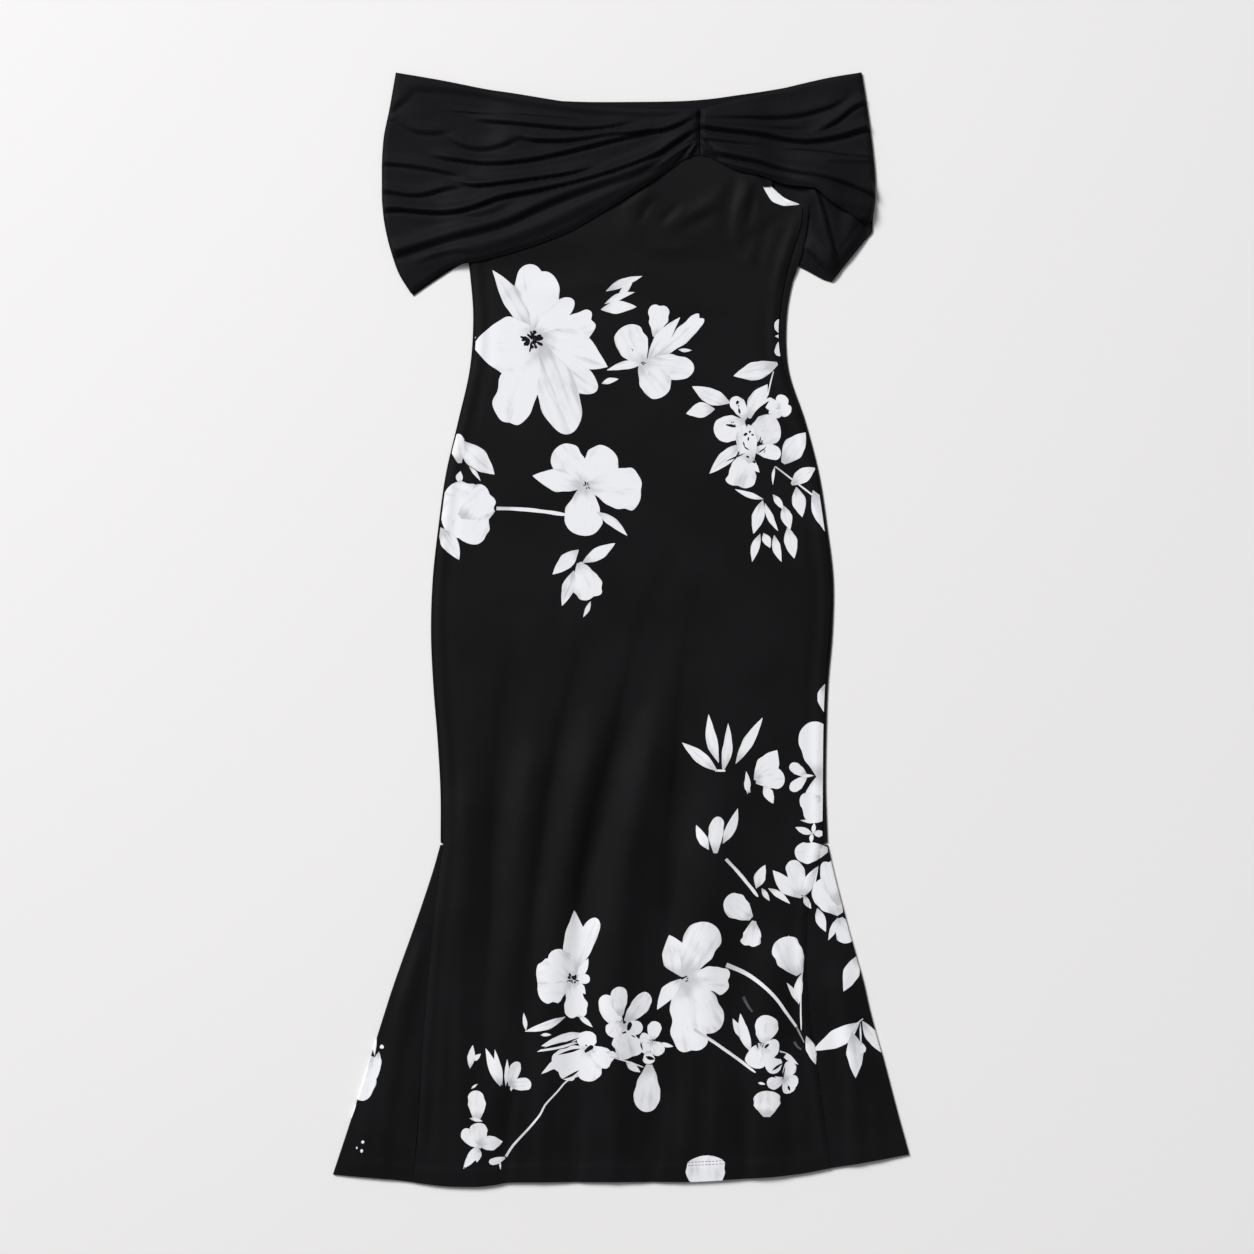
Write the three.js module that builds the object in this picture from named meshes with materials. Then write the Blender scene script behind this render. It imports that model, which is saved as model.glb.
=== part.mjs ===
// Off-shoulder trumpet dress in jersey, laid flat on its back.
// Millimetres. +X is to the right as seen from above, +Y towards the neckline, +Z up from the surface.
// The origin is in the middle of the footprint, on the surface.
import * as THREE from 'three';

const { lerp, smoothstep } = THREE.MathUtils;

// Driving dimensions
const wall = 1.2; // jersey as a rigid wall
const seamGap = 0.3; // between two pieces at a seam, and between two layers
const layer = wall + seamGap;
const turnedHem = 0.8; // extra thickness where the hem is turned up
const hemDepth = 20;
const hemLevel = -606; // mean height of the hem line
const hemShapeStart = -330; // the hem's curve is blended in from here down
const hemShapeFull = -520;
const godetTop = -237;
const underarm = 463.5;
const bodiceTop = 562;
const casingDepth = 13;
const gatherSeamX = 86.5; // the vertical seam that the front drape is gathered into
const drapeEdgeLevel = 402; // lower edge of the back drape at the sides
const stepDown = 16; // the back panel comes down off the back drape over this length
const drapeStepDown = 14; // and the front drape comes down off the body over this one

// Both side edges of the back panel and of the front panel, which is narrower, so that the back shows past it
const sideLines = [
  { y: 562, backLeft: -120.5, backRight: 142.5, frontLeft: -121, frontRight: 143 },
  { y: 527, backLeft: -123.3, backRight: 145.3, frontLeft: -123.8, frontRight: 145.8 },
  { y: 511, backLeft: -127.1, backRight: 149.1, frontLeft: -127.6, frontRight: 149.6 },
  { y: 496.5, backLeft: -133.7, backRight: 155.7, frontLeft: -134.2, frontRight: 156.2 },
  { y: 485.5, backLeft: -143.6, backRight: 165.6, frontLeft: -144.1, frontRight: 166.1 },
  { y: 473.4, backLeft: -158, backRight: 180, frontLeft: -158.4, frontRight: 180.4 },
  { y: 466, backLeft: -177, backRight: 204, frontLeft: -174.9, frontRight: 196.9 },
  { y: 463.5, backLeft: -179.3, backRight: 205.7, frontLeft: -177.1, frontRight: 199.1 },
  { y: 444.8, backLeft: -176, backRight: 204.6, frontLeft: -173.8, frontRight: 197.5 },
  { y: 422.8, backLeft: -171.6, backRight: 200.2, frontLeft: -169.4, frontRight: 190.3 },
  { y: 398.6, backLeft: -167.2, backRight: 193.6, frontLeft: -165, frontRight: 183.7 },
  { y: 371.1, backLeft: -164.5, backRight: 185.4, frontLeft: -162.2, frontRight: 177.7 },
  { y: 343.6, backLeft: -162.5, backRight: 182.1, frontLeft: -160.1, frontRight: 173.8 },
  { y: 312.8, backLeft: -162.2, backRight: 180.4, frontLeft: -160.1, frontRight: 173.8 },
  { y: 268.8, backLeft: -170.5, backRight: 188.1, frontLeft: -168.3, frontRight: 183.7 },
  { y: 232.5, backLeft: -178.2, backRight: 201.3, frontLeft: -176, frontRight: 197.5 },
  { y: 186.3, backLeft: -189.8, backRight: 214.5, frontLeft: -187.6, frontRight: 211.2 },
  { y: 137.9, backLeft: -197.5, backRight: 222.8, frontLeft: -195.3, frontRight: 219.5 },
  { y: 89.5, backLeft: -203.5, backRight: 229.4, frontLeft: -200.8, frontRight: 226.1 },
  { y: 41.1, backLeft: -207.9, backRight: 233.8, frontLeft: -205.2, frontRight: 230.5 },
  { y: -7.3, backLeft: -209, backRight: 232.1, frontLeft: -205.7, frontRight: 228.8 },
  { y: -55.7, backLeft: -206.8, backRight: 227.7, frontLeft: -203.5, frontRight: 224.4 },
  { y: -118.4, backLeft: -201.9, backRight: 225.5, frontLeft: -198.6, frontRight: 222.2 },
  { y: -176.7, backLeft: -198.6, backRight: 225, frontLeft: -195.3, frontRight: 221.7 },
  { y: -234, backLeft: -198.4, backRight: 227, frontLeft: -195.3, frontRight: 221.1 },
  { y: -236.5, backLeft: -195.3, backRight: 221, frontLeft: -195.3, frontRight: 221 },
  { y: -262.5, backLeft: -199.1, backRight: 215.6, frontLeft: -199.1, frontRight: 215.6 },
  { y: -315.3, backLeft: -205.4, backRight: 204.6, frontLeft: -205.4, frontRight: 204.6 },
  { y: -363.7, backLeft: -210.1, backRight: 203.5, frontLeft: -210.1, frontRight: 203.5 },
  { y: -434.1, backLeft: -216.2, backRight: 207.9, frontLeft: -216.2, frontRight: 207.9 },
  { y: -475, backLeft: -219.5, backRight: 214, frontLeft: -219.5, frontRight: 214 },
  { y: -532, backLeft: -222.5, backRight: 221.1, frontLeft: -222.5, frontRight: 221.1 },
  { y: -606, backLeft: -228.8, backRight: 229.9, frontLeft: -228.8, frontRight: 229.9 },
];

// Outer fold of each godet
const godetFold = [
  { y: -237, left: -198.7, right: 227.4 },
  { y: -267, left: -207.2, right: 234.1 },
  { y: -323, left: -226, right: 248.6 },
  { y: -391, left: -250, right: 266.2 },
  { y: -440, left: -265.3, right: 275.5 },
  { y: -489, left: -280, right: 287.1 },
  { y: -546, left: -297.5, right: 301 },
  { y: -606, left: -316.8, right: 316.8 },
];

const hemLine = [
  { x: -316.8, y: -599.1 },
  { x: -250.8, y: -604.6 },
  { x: -178, y: -612.2 },
  { x: -156, y: -612.2 },
  { x: -116.6, y: -607.4 },
  { x: -8.8, y: -607 },
  { x: 69.3, y: -606.8 },
  { x: 115.5, y: -604.6 },
  { x: 184.8, y: -599.6 },
  { x: 231, y: -591.9 },
  { x: 266.2, y: -585.9 },
  { x: 316.8, y: -577.1 },
];

const leftDrapeTop = [
  { x: -247.5, y: 612 },
  { x: -196.9, y: 603.2 },
  { x: -147.4, y: 593.3 },
  { x: -114.4, y: 587.8 },
  { x: -64.9, y: 579.6 },
  { x: -28.6, y: 574.1 },
  { x: 20.9, y: 571.3 },
  { x: 85.8, y: 570.8 },
];
const leftDrapeBottom = [
  { x: -230.6, y: 368.9 },
  { x: -210.1, y: 382.7 },
  { x: -187, y: 397.5 },
  { x: -147.4, y: 406.3 },
  { x: -97.9, y: 420.6 },
  { x: -58.3, y: 436 },
  { x: -18.7, y: 458.6 },
  { x: 20.9, y: 483.3 },
  { x: 57.2, y: 507.5 },
  { x: 72.6, y: 518 },
  { x: 85.8, y: 521.3 },
];
const leftDrapeOuter = [
  { y: 612, x: -247.5 },
  { y: 571.3, x: -254.6 },
  { y: 537.2, x: -261.2 },
  { y: 507.5, x: -262.9 },
  { y: 477.8, x: -262.9 },
  { y: 454.1, x: -261.2 },
  { y: 432.7, x: -257.4 },
  { y: 410.7, x: -251.4 },
  { y: 390.9, x: -244.2 },
  { y: 368.9, x: -230.6 },
];
const rightDrapeTop = [
  { x: 87.2, y: 570.8 },
  { x: 125.4, y: 581.7 },
  { x: 168.3, y: 592.2 },
  { x: 229.9, y: 606.5 },
  { x: 264.4, y: 612.2 },
];
const rightDrapeBottom = [
  { x: 87.2, y: 520.7 },
  { x: 95.7, y: 519 },
  { x: 113, y: 510.4 },
  { x: 125.4, y: 504.2 },
  { x: 153.5, y: 497.6 },
  { x: 181.1, y: 488.1 },
  { x: 213, y: 482.5 },
  { x: 227.7, y: 470.1 },
  { x: 253, y: 455.2 },
  { x: 273.2, y: 441.5 },
];
const rightDrapeOuter = [
  { y: 612.2, x: 264.4 },
  { y: 577.4, x: 269.9 },
  { y: 551.9, x: 273.6 },
  { y: 521.1, x: 277.2 },
  { y: 494.3, x: 279.4 },
  { y: 475.6, x: 279.7 },
  { y: 458, x: 277.8 },
  { y: 441.5, x: 273.2 },
];
const backDrapeTop = [
  { x: -246.2, y: 610.7 },
  { x: -196.9, y: 602 },
  { x: -147.4, y: 592.1 },
  { x: -82.5, y: 581.8 },
  { x: -23.1, y: 579.8 },
  { x: 51.7, y: 580.4 },
  { x: 85.8, y: 582 },
  { x: 125.4, y: 587 },
  { x: 168.3, y: 593.3 },
  { x: 200.2, y: 599.4 },
  { x: 263, y: 611.4 },
];
const backDrapeBottom = [
  { x: -228.5, y: 366.9 },
  { x: -185.9, y: 395.4 },
  { x: -168.3, y: 404.1 },
  { x: -78.1, y: 422.8 },
  { x: 9.9, y: 430.5 },
  { x: 97.9, y: 422.8 },
  { x: 192.5, y: 399.7 },
  { x: 223.3, y: 384.3 },
  { x: 230.5, y: 381.4 },
  { x: 243.1, y: 396.4 },
  { x: 276.1, y: 437.1 },
];
const backDrapeLeft = [
  { y: 610.7, x: -246.2 },
  { y: 571.3, x: -253.6 },
  { y: 537.2, x: -260.2 },
  { y: 507.5, x: -261.9 },
  { y: 477.8, x: -261.9 },
  { y: 454.1, x: -260.2 },
  { y: 410.7, x: -250.2 },
  { y: 390.9, x: -243 },
  { y: 366.9, x: -228.5 },
];
const backDrapeRight = [
  { y: 611.4, x: 263 },
  { y: 551.9, x: 272.4 },
  { y: 494.3, x: 278.2 },
  { y: 475.6, x: 278.6 },
  { y: 458, x: 277.4 },
  { y: 437.1, x: 276.1 },
];

// Folds are ridges along a path: rise is their height, and upper and lower their reach to either side
const leftDrapeFolds = [
  { rise: 3, upper: 15, lower: 12, path: [[-252, 572], [-215, 575], [-176, 563]] },
  { rise: 1.6, upper: 5, lower: 3, path: [[-260, 556], [-247, 559], [-234, 555]] },
  { rise: 1.5, upper: 6, lower: 3, path: [[-183, 567], [-108, 564], [-33, 557]] },
  { rise: 5, upper: 9, lower: 5, path: [[-168, 560], [-78, 556], [-23, 553], [40, 558], [82, 564]] },
  { rise: 4.5, upper: 8, lower: 5, path: [[-190, 546], [-145, 533], [-78, 545], [-20, 548], [40, 549], [82, 557]] },
  { rise: 5, upper: 9, lower: 5, path: [[-209, 521], [-137, 516], [-68, 527], [-20, 535], [40, 541], [82, 550]] },
  { rise: 3.2, upper: 8, lower: 4.5, path: [[-262, 511], [-236, 515], [-211, 510], [-177, 499]] },
  { rise: 4.8, upper: 9, lower: 4, path: [[-182, 491], [-137, 499], [-88, 504], [-30, 508]] },
  { rise: 3.6, upper: 8, lower: 4.5, path: [[-263, 481], [-226, 488], [-176, 491]] },
  { rise: 5.5, upper: 10, lower: 6, path: [[-262, 458], [-207, 469], [-134, 480], [-23, 501], [30, 519], [82, 543]] },
  { rise: 7.5, upper: 14, lower: 7, path: [[-250, 411], [-187, 440], [-118, 464], [-23, 491], [30, 511], [82, 536]] },
  { rise: 4.5, upper: 10, lower: 8, path: [[-241, 389], [-197, 417], [-138, 418], [-38, 458], [20, 494], [60, 515]] },
  { rise: 3, upper: 4, lower: 4, path: [[60, 511], [70, 521], [82, 529]] },
];
const rightDrapeFolds = [
  { rise: 4, upper: 14, lower: 9, path: [[91, 568], [147, 577], [211, 583], [258, 591]] },
  { rise: 4.5, upper: 7, lower: 7, path: [[91, 563], [147, 564], [211, 563], [268, 577]] },
  { rise: 5.5, upper: 9, lower: 6, path: [[91, 556], [130, 551], [190, 539], [222, 541], [273, 549]] },
  { rise: 4.5, upper: 9, lower: 6, path: [[91, 549], [126, 541], [164, 531], [200, 524], [276, 520]] },
  { rise: 7, upper: 14, lower: 6, path: [[91, 540], [113, 531], [181, 511], [215, 503], [278, 480]] },
  { rise: 3, upper: 4, lower: 4, path: [[91, 533], [99, 528], [106, 520]] },
  { rise: 5, upper: 9, lower: 8, path: [[96, 517], [126, 508], [190, 496], [222, 488], [275, 456]] },
];
const backDrapeFolds = [
  { rise: 4.5, upper: 10, lower: 10, path: [[212, 502], [221, 468], [232, 420], [232, 392]] },
  { rise: 3, upper: 11, lower: 11, path: [[258, 474], [251, 440], [239, 402]] },
];
const frontFolds = [
  { rise: 3, upper: 9, lower: 9, path: [[139, 505], [133, 478], [128, 440]] },
  { rise: 2, upper: 10, lower: 10, path: [[36, 485], [20, 462], [2, 432]] },
  { rise: 2, upper: 11, lower: 9, path: [[40, 452], [70, 447], [106, 462]] },
  { rise: 5.5, upper: 19, lower: 19, path: [[-93, -110], [-110, -230], [-122, -340], [-130, -470], [-136, -620]] },
  { rise: 6, upper: 18, lower: 18, path: [[-23, -90], [-48, -190], [-70, -300], [-80, -420], [-88, -620]] },
  { rise: 6.5, upper: 22, lower: 22, path: [[38, -90], [20, -190], [0, -300], [-10, -420], [-6, -620]] },
  { rise: 5.5, upper: 26, lower: 26, path: [[115, -130], [98, -250], [92, -370], [100, -480], [96, -620]] },
  { rise: 5.5, upper: 20, lower: 20, path: [[-168, -140], [-176, -300], [-184, -430], [-176, -620]] },
  { rise: 5, upper: 20, lower: 20, path: [[172, -330], [160, -430], [164, -620]] },
];
const leftGodetFolds = [
  { rise: 4, upper: 12, lower: 12, path: [[-222, -330], [-240, -440], [-262, -620]] },
];
const rightGodetFolds = [
  { rise: 4, upper: 13, lower: 13, path: [[232, -360], [250, -460], [270, -610]] },
];

// Colour and surface of the cloth
const blackJersey = { color: 0x141417, roughness: 0.85, metalness: 0 };
const printedJersey = { color: 0x1b1b1f, roughness: 0.8, metalness: 0 };

// A smooth line through a table: one named column at a place along another, with no overshoot
function through(rows, along, name) {
  const sorted = [...rows].sort((a, b) => a[along] - b[along]);
  const at = sorted.map((row) => row[along]);
  const value = sorted.map((row) => row[name]);
  const slopes = at.slice(1).map((end, i) => (value[i + 1] - value[i]) / (end - at[i]));
  const last = slopes.length;
  const tangent = value.map((_, i) => {
    const before = slopes[Math.max(i - 1, 0)];
    const after = slopes[Math.min(i, last - 1)];
    return before * after <= 0 ? 0 : (2 * before * after) / (before + after);
  });
  return (place) => {
    const next = at.findIndex((edge) => edge > place);
    const i = next === -1 ? last - 1 : Math.max(next - 1, 0);
    const span = at[i + 1] - at[i];
    const t = Math.min(Math.max((place - at[i]) / span, 0), 1);
    const s = 1 - t;
    const start = s * s * (value[i] * (1 + 2 * t) + tangent[i] * span * t);
    const end = t * t * (value[i + 1] * (1 + 2 * s) - tangent[i + 1] * span * s);
    return start + end;
  };
}

const backLeft = through(sideLines, 'y', 'backLeft');
const backRight = through(sideLines, 'y', 'backRight');
const frontLeft = through(sideLines, 'y', 'frontLeft');
const frontRight = through(sideLines, 'y', 'frontRight');
const foldLeft = through(godetFold, 'y', 'left');
const foldRight = through(godetFold, 'y', 'right');
const hemAt = through(hemLine, 'x', 'y');
const neckAt = through(backDrapeTop, 'x', 'y');
const backDrapeHem = through(backDrapeBottom, 'x', 'y');

// Height of a set of folds over a place, as a function
function foldField(folds) {
  const pathSteps = 28;
  const fadeShare = 0.2;
  const ridges = folds.map(({ rise, upper, lower, path }) => {
    const curve = new THREE.SplineCurve(path.map(([x, y]) => new THREE.Vector2(x, y)));
    return { rise, upper, lower, points: curve.getPoints(pathSteps) };
  });
  const heightOf = (ridge, x, y, tightness) => {
    let best = { distance: Infinity };
    for (let i = 0; i < pathSteps; i += 1) {
      const from = ridge.points[i];
      const alongX = ridge.points[i + 1].x - from.x;
      const alongY = ridge.points[i + 1].y - from.y;
      const lengthSquared = alongX * alongX + alongY * alongY;
      const share = ((x - from.x) * alongX + (y - from.y) * alongY) / lengthSquared;
      const t = Math.min(Math.max(share, 0), 1);
      const dx = x - from.x - t * alongX;
      const dy = y - from.y - t * alongY;
      const distance = Math.hypot(dx, dy);
      if (distance < best.distance) {
        best = { distance, travel: (i + t) / pathSteps, side: alongX * dy - alongY * dx };
      }
    }
    const reach = (best.side >= 0 ? ridge.upper : ridge.lower) * tightness;
    const ends = smoothstep(best.travel, 0, fadeShare) * smoothstep(1 - best.travel, 0, fadeShare);
    return ridge.rise * ends * Math.exp(-((best.distance / reach) ** 2));
  };
  return (x, y, tightness = 1) =>
    ridges.reduce((sum, ridge) => sum + heightOf(ridge, x, y, tightness), 0);
}

const frontFoldHeight = foldField(frontFolds);
const leftDrapeFoldHeight = foldField(leftDrapeFolds);
const rightDrapeFoldHeight = foldField(rightDrapeFolds);
const backDrapeFoldHeight = foldField(backDrapeFolds);
const godetFoldHeight = { left: foldField(leftGodetFolds), right: foldField(rightGodetFolds) };

// Height of the under side of each layer over a place
function backPanelFloor(x, y) {
  const drapeEdge = backDrapeHem(x) - 1;
  return layer * smoothstep(y, drapeEdge - stepDown, drapeEdge);
}
function frontWave(x, y) {
  const fromSide = Math.min(x - frontLeft(y), frontRight(y) - x);
  const pinned = smoothstep(fromSide, 0, 16);
  return pinned * (frontFoldHeight(x, y) + 0.8);
}
function frontPanelFloor(x, y) {
  return backPanelFloor(x, y) + layer + frontWave(x, y);
}
function overBody(x, y) {
  const outside = Math.max(backLeft(y) - x, x - backRight(y), 0);
  return 1 - smoothstep(outside, 1, drapeStepDown);
}
function backDrapeFloor(x, y, width = 1) {
  const clearOfBody = smoothstep(x - backRight(y), 4, 18);
  return clearOfBody * backDrapeFoldHeight(x, y, width);
}
function frontDrapeFloor(x, y, folds) {
  const fromSeam = Math.abs(x - gatherSeamX);
  const spread = smoothstep(fromSeam, 4, 110);
  const heaped = lerp(0.55, 1, spread) * folds(x, y, lerp(0.42, 1, spread));
  const body = overBody(x, y);
  const overSleeve = 1.15 * backDrapeFloor(x, y, 1.25);
  return layer + body * (2 * layer + frontWave(x, y)) + overSleeve + heaped;
}

// A closed wall of cloth. place(i, j) gives a point of the under side and the wall's thickness there
function clothWall(across, along, place) {
  const grid = [];
  for (let j = 0; j <= along; j += 1) {
    for (let i = 0; i <= across; i += 1) {
      grid.push(place(i, j));
    }
  }
  const under = grid.flatMap(({ x, y, z }) => [x, y, z]);
  const upper = grid.flatMap(({ x, y, z, thick }) => [x, y, z + thick]);
  const count = grid.length;
  const at = (i, j) => j * (across + 1) + i;
  const faces = [];
  const quad = (a, b, c, d) => faces.push(a, b, c, a, c, d);
  for (let j = 0; j < along; j += 1) {
    for (let i = 0; i < across; i += 1) {
      const corners = [at(i, j), at(i + 1, j), at(i + 1, j + 1), at(i, j + 1)];
      quad(...corners.map((corner) => corner + count));
      quad(...[...corners].reverse());
    }
  }
  const rim = [];
  for (let i = 0; i < across; i += 1) rim.push(at(i, 0));
  for (let j = 0; j < along; j += 1) rim.push(at(across, j));
  for (let i = across; i > 0; i -= 1) rim.push(at(i, along));
  for (let j = along; j > 0; j -= 1) rim.push(at(0, j));
  rim.forEach((from, k) => {
    const to = rim[(k + 1) % rim.length];
    quad(from, to, to + count, from + count);
  });
  const geometry = new THREE.BufferGeometry();
  geometry.setAttribute('position', new THREE.Float32BufferAttribute([...under, ...upper], 3));
  geometry.setIndex(faces);
  geometry.computeVertexNormals();
  return geometry;
}

// The wall keeps its thickness square to the cloth, so it is taller where the cloth is steep
function uprightThickness(floor, x, y, thick) {
  const step = 1;
  const slopeX = (floor(x + step, y) - floor(x - step, y)) / (2 * step);
  const slopeY = (floor(x, y + step) - floor(x, y - step)) / (2 * step);
  return thick * Math.min(Math.hypot(1, slopeX, slopeY), 1.8);
}

// Levels from one height to another, in equal steps
function levels(from, to, steps) {
  return Array.from({ length: steps + 1 }, (_, i) => lerp(from, to, i / steps));
}

// Moves a level of the skirt so that the lowest one follows the hem
function alongHem(x, level) {
  const blend = 1 - smoothstep(level, hemShapeFull, hemShapeStart);
  return level + blend * (hemAt(x) - hemLevel);
}

// Moves a level of a panel so that it also follows the lower edge of the back drape below it
function alongEdges(x, level) {
  const blend = smoothstep(level, 345, 384) * (1 - smoothstep(level, drapeEdgeLevel, 444));
  return alongHem(x, level) + blend * (backDrapeHem(x) - drapeEdgeLevel);
}

const godetLevels = levels(-560, -264, 9);
const skirtLevels = [hemLevel, hemLevel + hemDepth, ...godetLevels, -236.5, -234];
const shoulderLevels = [423, 444, underarm, 466, 473.4, 485.5, 496.5, 511, 527];
const stepLevels = [drapeEdgeLevel - 1 - stepDown, drapeEdgeLevel - 9, drapeEdgeLevel - 1];

function frontPanel() {
  const turning = [hemLevel + hemDepth + 2];
  const below = [...skirtLevels.slice(0, 2), ...turning, ...skirtLevels.slice(2)];
  const rows = [...below, ...levels(-195, 345, 14), ...stepLevels, ...shoulderLevels, 545, bodiceTop];
  const across = 26;
  return clothWall(across, rows.length - 1, (i, j) => {
    const level = rows[j];
    const x = lerp(frontLeft(level), frontRight(level), i / across);
    const y = alongEdges(x, level);
    const z = frontPanelFloor(x, y);
    const thick = j < 2 ? wall + turnedHem : uprightThickness(frontPanelFloor, x, y, wall);
    return { x, y, z, thick };
  });
}

function backPanel() {
  const rows = [...skirtLevels, ...levels(-177, 345, 9), ...stepLevels, ...shoulderLevels, bodiceTop];
  const across = 8;
  return clothWall(across, rows.length - 1, (i, j) => {
    const level = rows[j];
    const x = lerp(backLeft(level), backRight(level), i / across);
    const toNeck = smoothstep(level, 527, bodiceTop) * (neckAt(x) - 1.2 - bodiceTop);
    const y = alongEdges(x, level) + toNeck;
    return { x, y, z: backPanelFloor(x, y), thick: wall };
  });
}

// A strip along the inside of the back neck, lying on the back panel
function neckCasing() {
  const across = 16;
  const ends = { left: -117, right: 139 };
  return clothWall(across, 1, (i, j) => {
    const x = lerp(ends.left, ends.right, i / across);
    const y = neckAt(x) - 1 - (1 - j) * casingDepth;
    return { x, y, z: 2 * layer, thick: wall };
  });
}

// A godet is folded in half: half of it lies on the surface and half on top, with the fold outermost
function godet(side) {
  const sign = side === 'left' ? -1 : 1;
  const seamAt = side === 'left' ? frontLeft : frontRight;
  const foldAt = side === 'left' ? foldLeft : foldRight;
  const rows = [godetTop, ...[...godetLevels].reverse(), hemLevel + hemDepth, hemLevel];
  const flatSteps = 6;
  const foldSteps = 4;
  const middleRadius = layer / 2;
  const outerRadius = middleRadius + wall / 2;
  const section = (level) => {
    const seam = seamAt(level) + sign * seamGap;
    const turn = foldAt(level) - sign * outerRadius;
    const points = [];
    for (let i = 0; i < flatSteps; i += 1) {
      points.push({ x: lerp(seam, turn, i / flatSteps), z: wall / 2, nx: 0, nz: -1 });
    }
    for (let i = 0; i <= foldSteps; i += 1) {
      const angle = lerp(-Math.PI / 2, Math.PI / 2, i / foldSteps);
      const nx = sign * Math.cos(angle);
      const nz = Math.sin(angle);
      points.push({ x: turn + middleRadius * nx, z: outerRadius + middleRadius * nz, nx, nz });
    }
    for (let i = flatSteps - 1; i >= 0; i -= 1) {
      const x = lerp(seam, turn, i / flatSteps);
      const pinned = smoothstep(Math.abs(x - turn), 0, 12) * smoothstep(Math.abs(x - seam), 0, 12);
      const puff = pinned * (0.6 + godetFoldHeight[side](x, alongHem(x, level)));
      points.push({ x, z: outerRadius + middleRadius + puff, nx: 0, nz: 1 });
    }
    return points;
  };
  const across = 2 * flatSteps + foldSteps;
  const outer = [];
  const inner = [];
  rows.forEach((level) => {
    section(level).forEach(({ x, z, nx, nz }) => {
      const half = wall / 2;
      outer.push([x + nx * half, alongHem(x, level), z + nz * half]);
      inner.push([x - nx * half, alongHem(x, level), z - nz * half]);
    });
  });
  const width = across + 1;
  const count = outer.length;
  const faces = [];
  const quad = (a, b, c, d) => {
    if (side === 'right') faces.push(a, c, b, a, d, c);
    else faces.push(a, b, c, a, c, d);
  };
  const last = rows.length - 1;
  for (let j = 0; j < last; j += 1) {
    for (let i = 0; i < across; i += 1) {
      const a = j * width + i;
      quad(a, a + width, a + width + 1, a + 1);
      quad(a + count, a + count + 1, a + count + width + 1, a + count + width);
    }
    const seamBack = j * width;
    const seamFront = j * width + across;
    quad(seamBack, seamBack + count, seamBack + count + width, seamBack + width);
    quad(seamFront, seamFront + width, seamFront + count + width, seamFront + count);
  }
  for (let i = 0; i < across; i += 1) {
    const low = last * width + i;
    quad(i, i + 1, i + 1 + count, i + count);
    quad(low, low + count, low + count + 1, low + 1);
  }
  const geometry = new THREE.BufferGeometry();
  geometry.setAttribute('position', new THREE.Float32BufferAttribute([...outer, ...inner].flat(), 3));
  geometry.setIndex(faces);
  geometry.computeVertexNormals();
  return geometry;
}

// A patch between four edges: u runs from the left edge to the right one, and v from the bottom to the top
function patch({ bottom, top, left, right }) {
  const ends = (rows, key) => {
    const values = rows.map((row) => row[key]);
    return [Math.min(...values), Math.max(...values)];
  };
  const level = (rows) => {
    const line = through(rows, 'x', 'y');
    const [from, to] = ends(rows, 'x');
    return (u) => {
      const x = lerp(from, to, u);
      return [x, line(x)];
    };
  };
  const upright = (rows) => {
    const line = through(rows, 'y', 'x');
    const [from, to] = ends(rows, 'y');
    return (v) => {
      const y = lerp(from, to, v);
      return [line(y), y];
    };
  };
  const low = level(bottom);
  const high = level(top);
  const start = upright(left);
  const end = upright(right);
  return (u, v) =>
    [0, 1].map((k) => {
      const crosswise = (1 - v) * low(u)[k] + v * high(u)[k];
      const lengthwise = (1 - u) * start(v)[k] + u * end(v)[k];
      const atBottom = (1 - u) * low(0)[k] + u * low(1)[k];
      const atTop = (1 - u) * high(0)[k] + u * high(1)[k];
      return crosswise + lengthwise - (1 - v) * atBottom - v * atTop;
    });
}

function drape(edges, folds, across, along) {
  const at = patch(edges);
  const floor = (x, y) => frontDrapeFloor(x, y, folds);
  return clothWall(across, along, (i, j) => {
    const [x, y] = at(i / across, j / along);
    return { x, y, z: floor(x, y), thick: uprightThickness(floor, x, y, wall) };
  });
}

function leftDrape() {
  const seam = [{ y: 521.3, x: 85.8 }, { y: 570.8, x: 85.8 }];
  const edges = { bottom: leftDrapeBottom, top: leftDrapeTop, left: leftDrapeOuter, right: seam };
  return drape(edges, leftDrapeFoldHeight, 34, 26);
}

function rightDrape() {
  const seam = [{ y: 520.7, x: 87.2 }, { y: 570.8, x: 87.2 }];
  const edges = { bottom: rightDrapeBottom, top: rightDrapeTop, left: seam, right: rightDrapeOuter };
  return drape(edges, rightDrapeFoldHeight, 22, 22);
}

function backDrape() {
  const at = patch({ bottom: backDrapeBottom, top: backDrapeTop, left: backDrapeLeft, right: backDrapeRight });
  const columns = [...levels(0, 0.84, 16), ...levels(0.86, 1, 8)];
  const rows = [...levels(0, 0.48, 12), ...levels(0.6, 1, 3)];
  return clothWall(columns.length - 1, rows.length - 1, (i, j) => {
    const [x, y] = at(columns[i], rows[j]);
    return { x, y, z: backDrapeFloor(x, y), thick: wall };
  });
}

// The end of the armhole's binding, which shows below the right drape
function armholeTab() {
  const corners = [[154.5, 488.5], [160.5, 483.5], [167.5, 489], [160, 493.6]];
  const across = 1;
  return clothWall(across, 1, (i, j) => {
    const [x, y] = corners[j === 0 ? i : 3 - i];
    return { x, y, z: 3 * layer + frontWave(x, y) + 0.2, thick: wall };
  });
}

function piece(name, geometry, finish) {
  const mesh = new THREE.Mesh(geometry, new THREE.MeshStandardMaterial(finish));
  mesh.name = name;
  return mesh;
}

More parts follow.
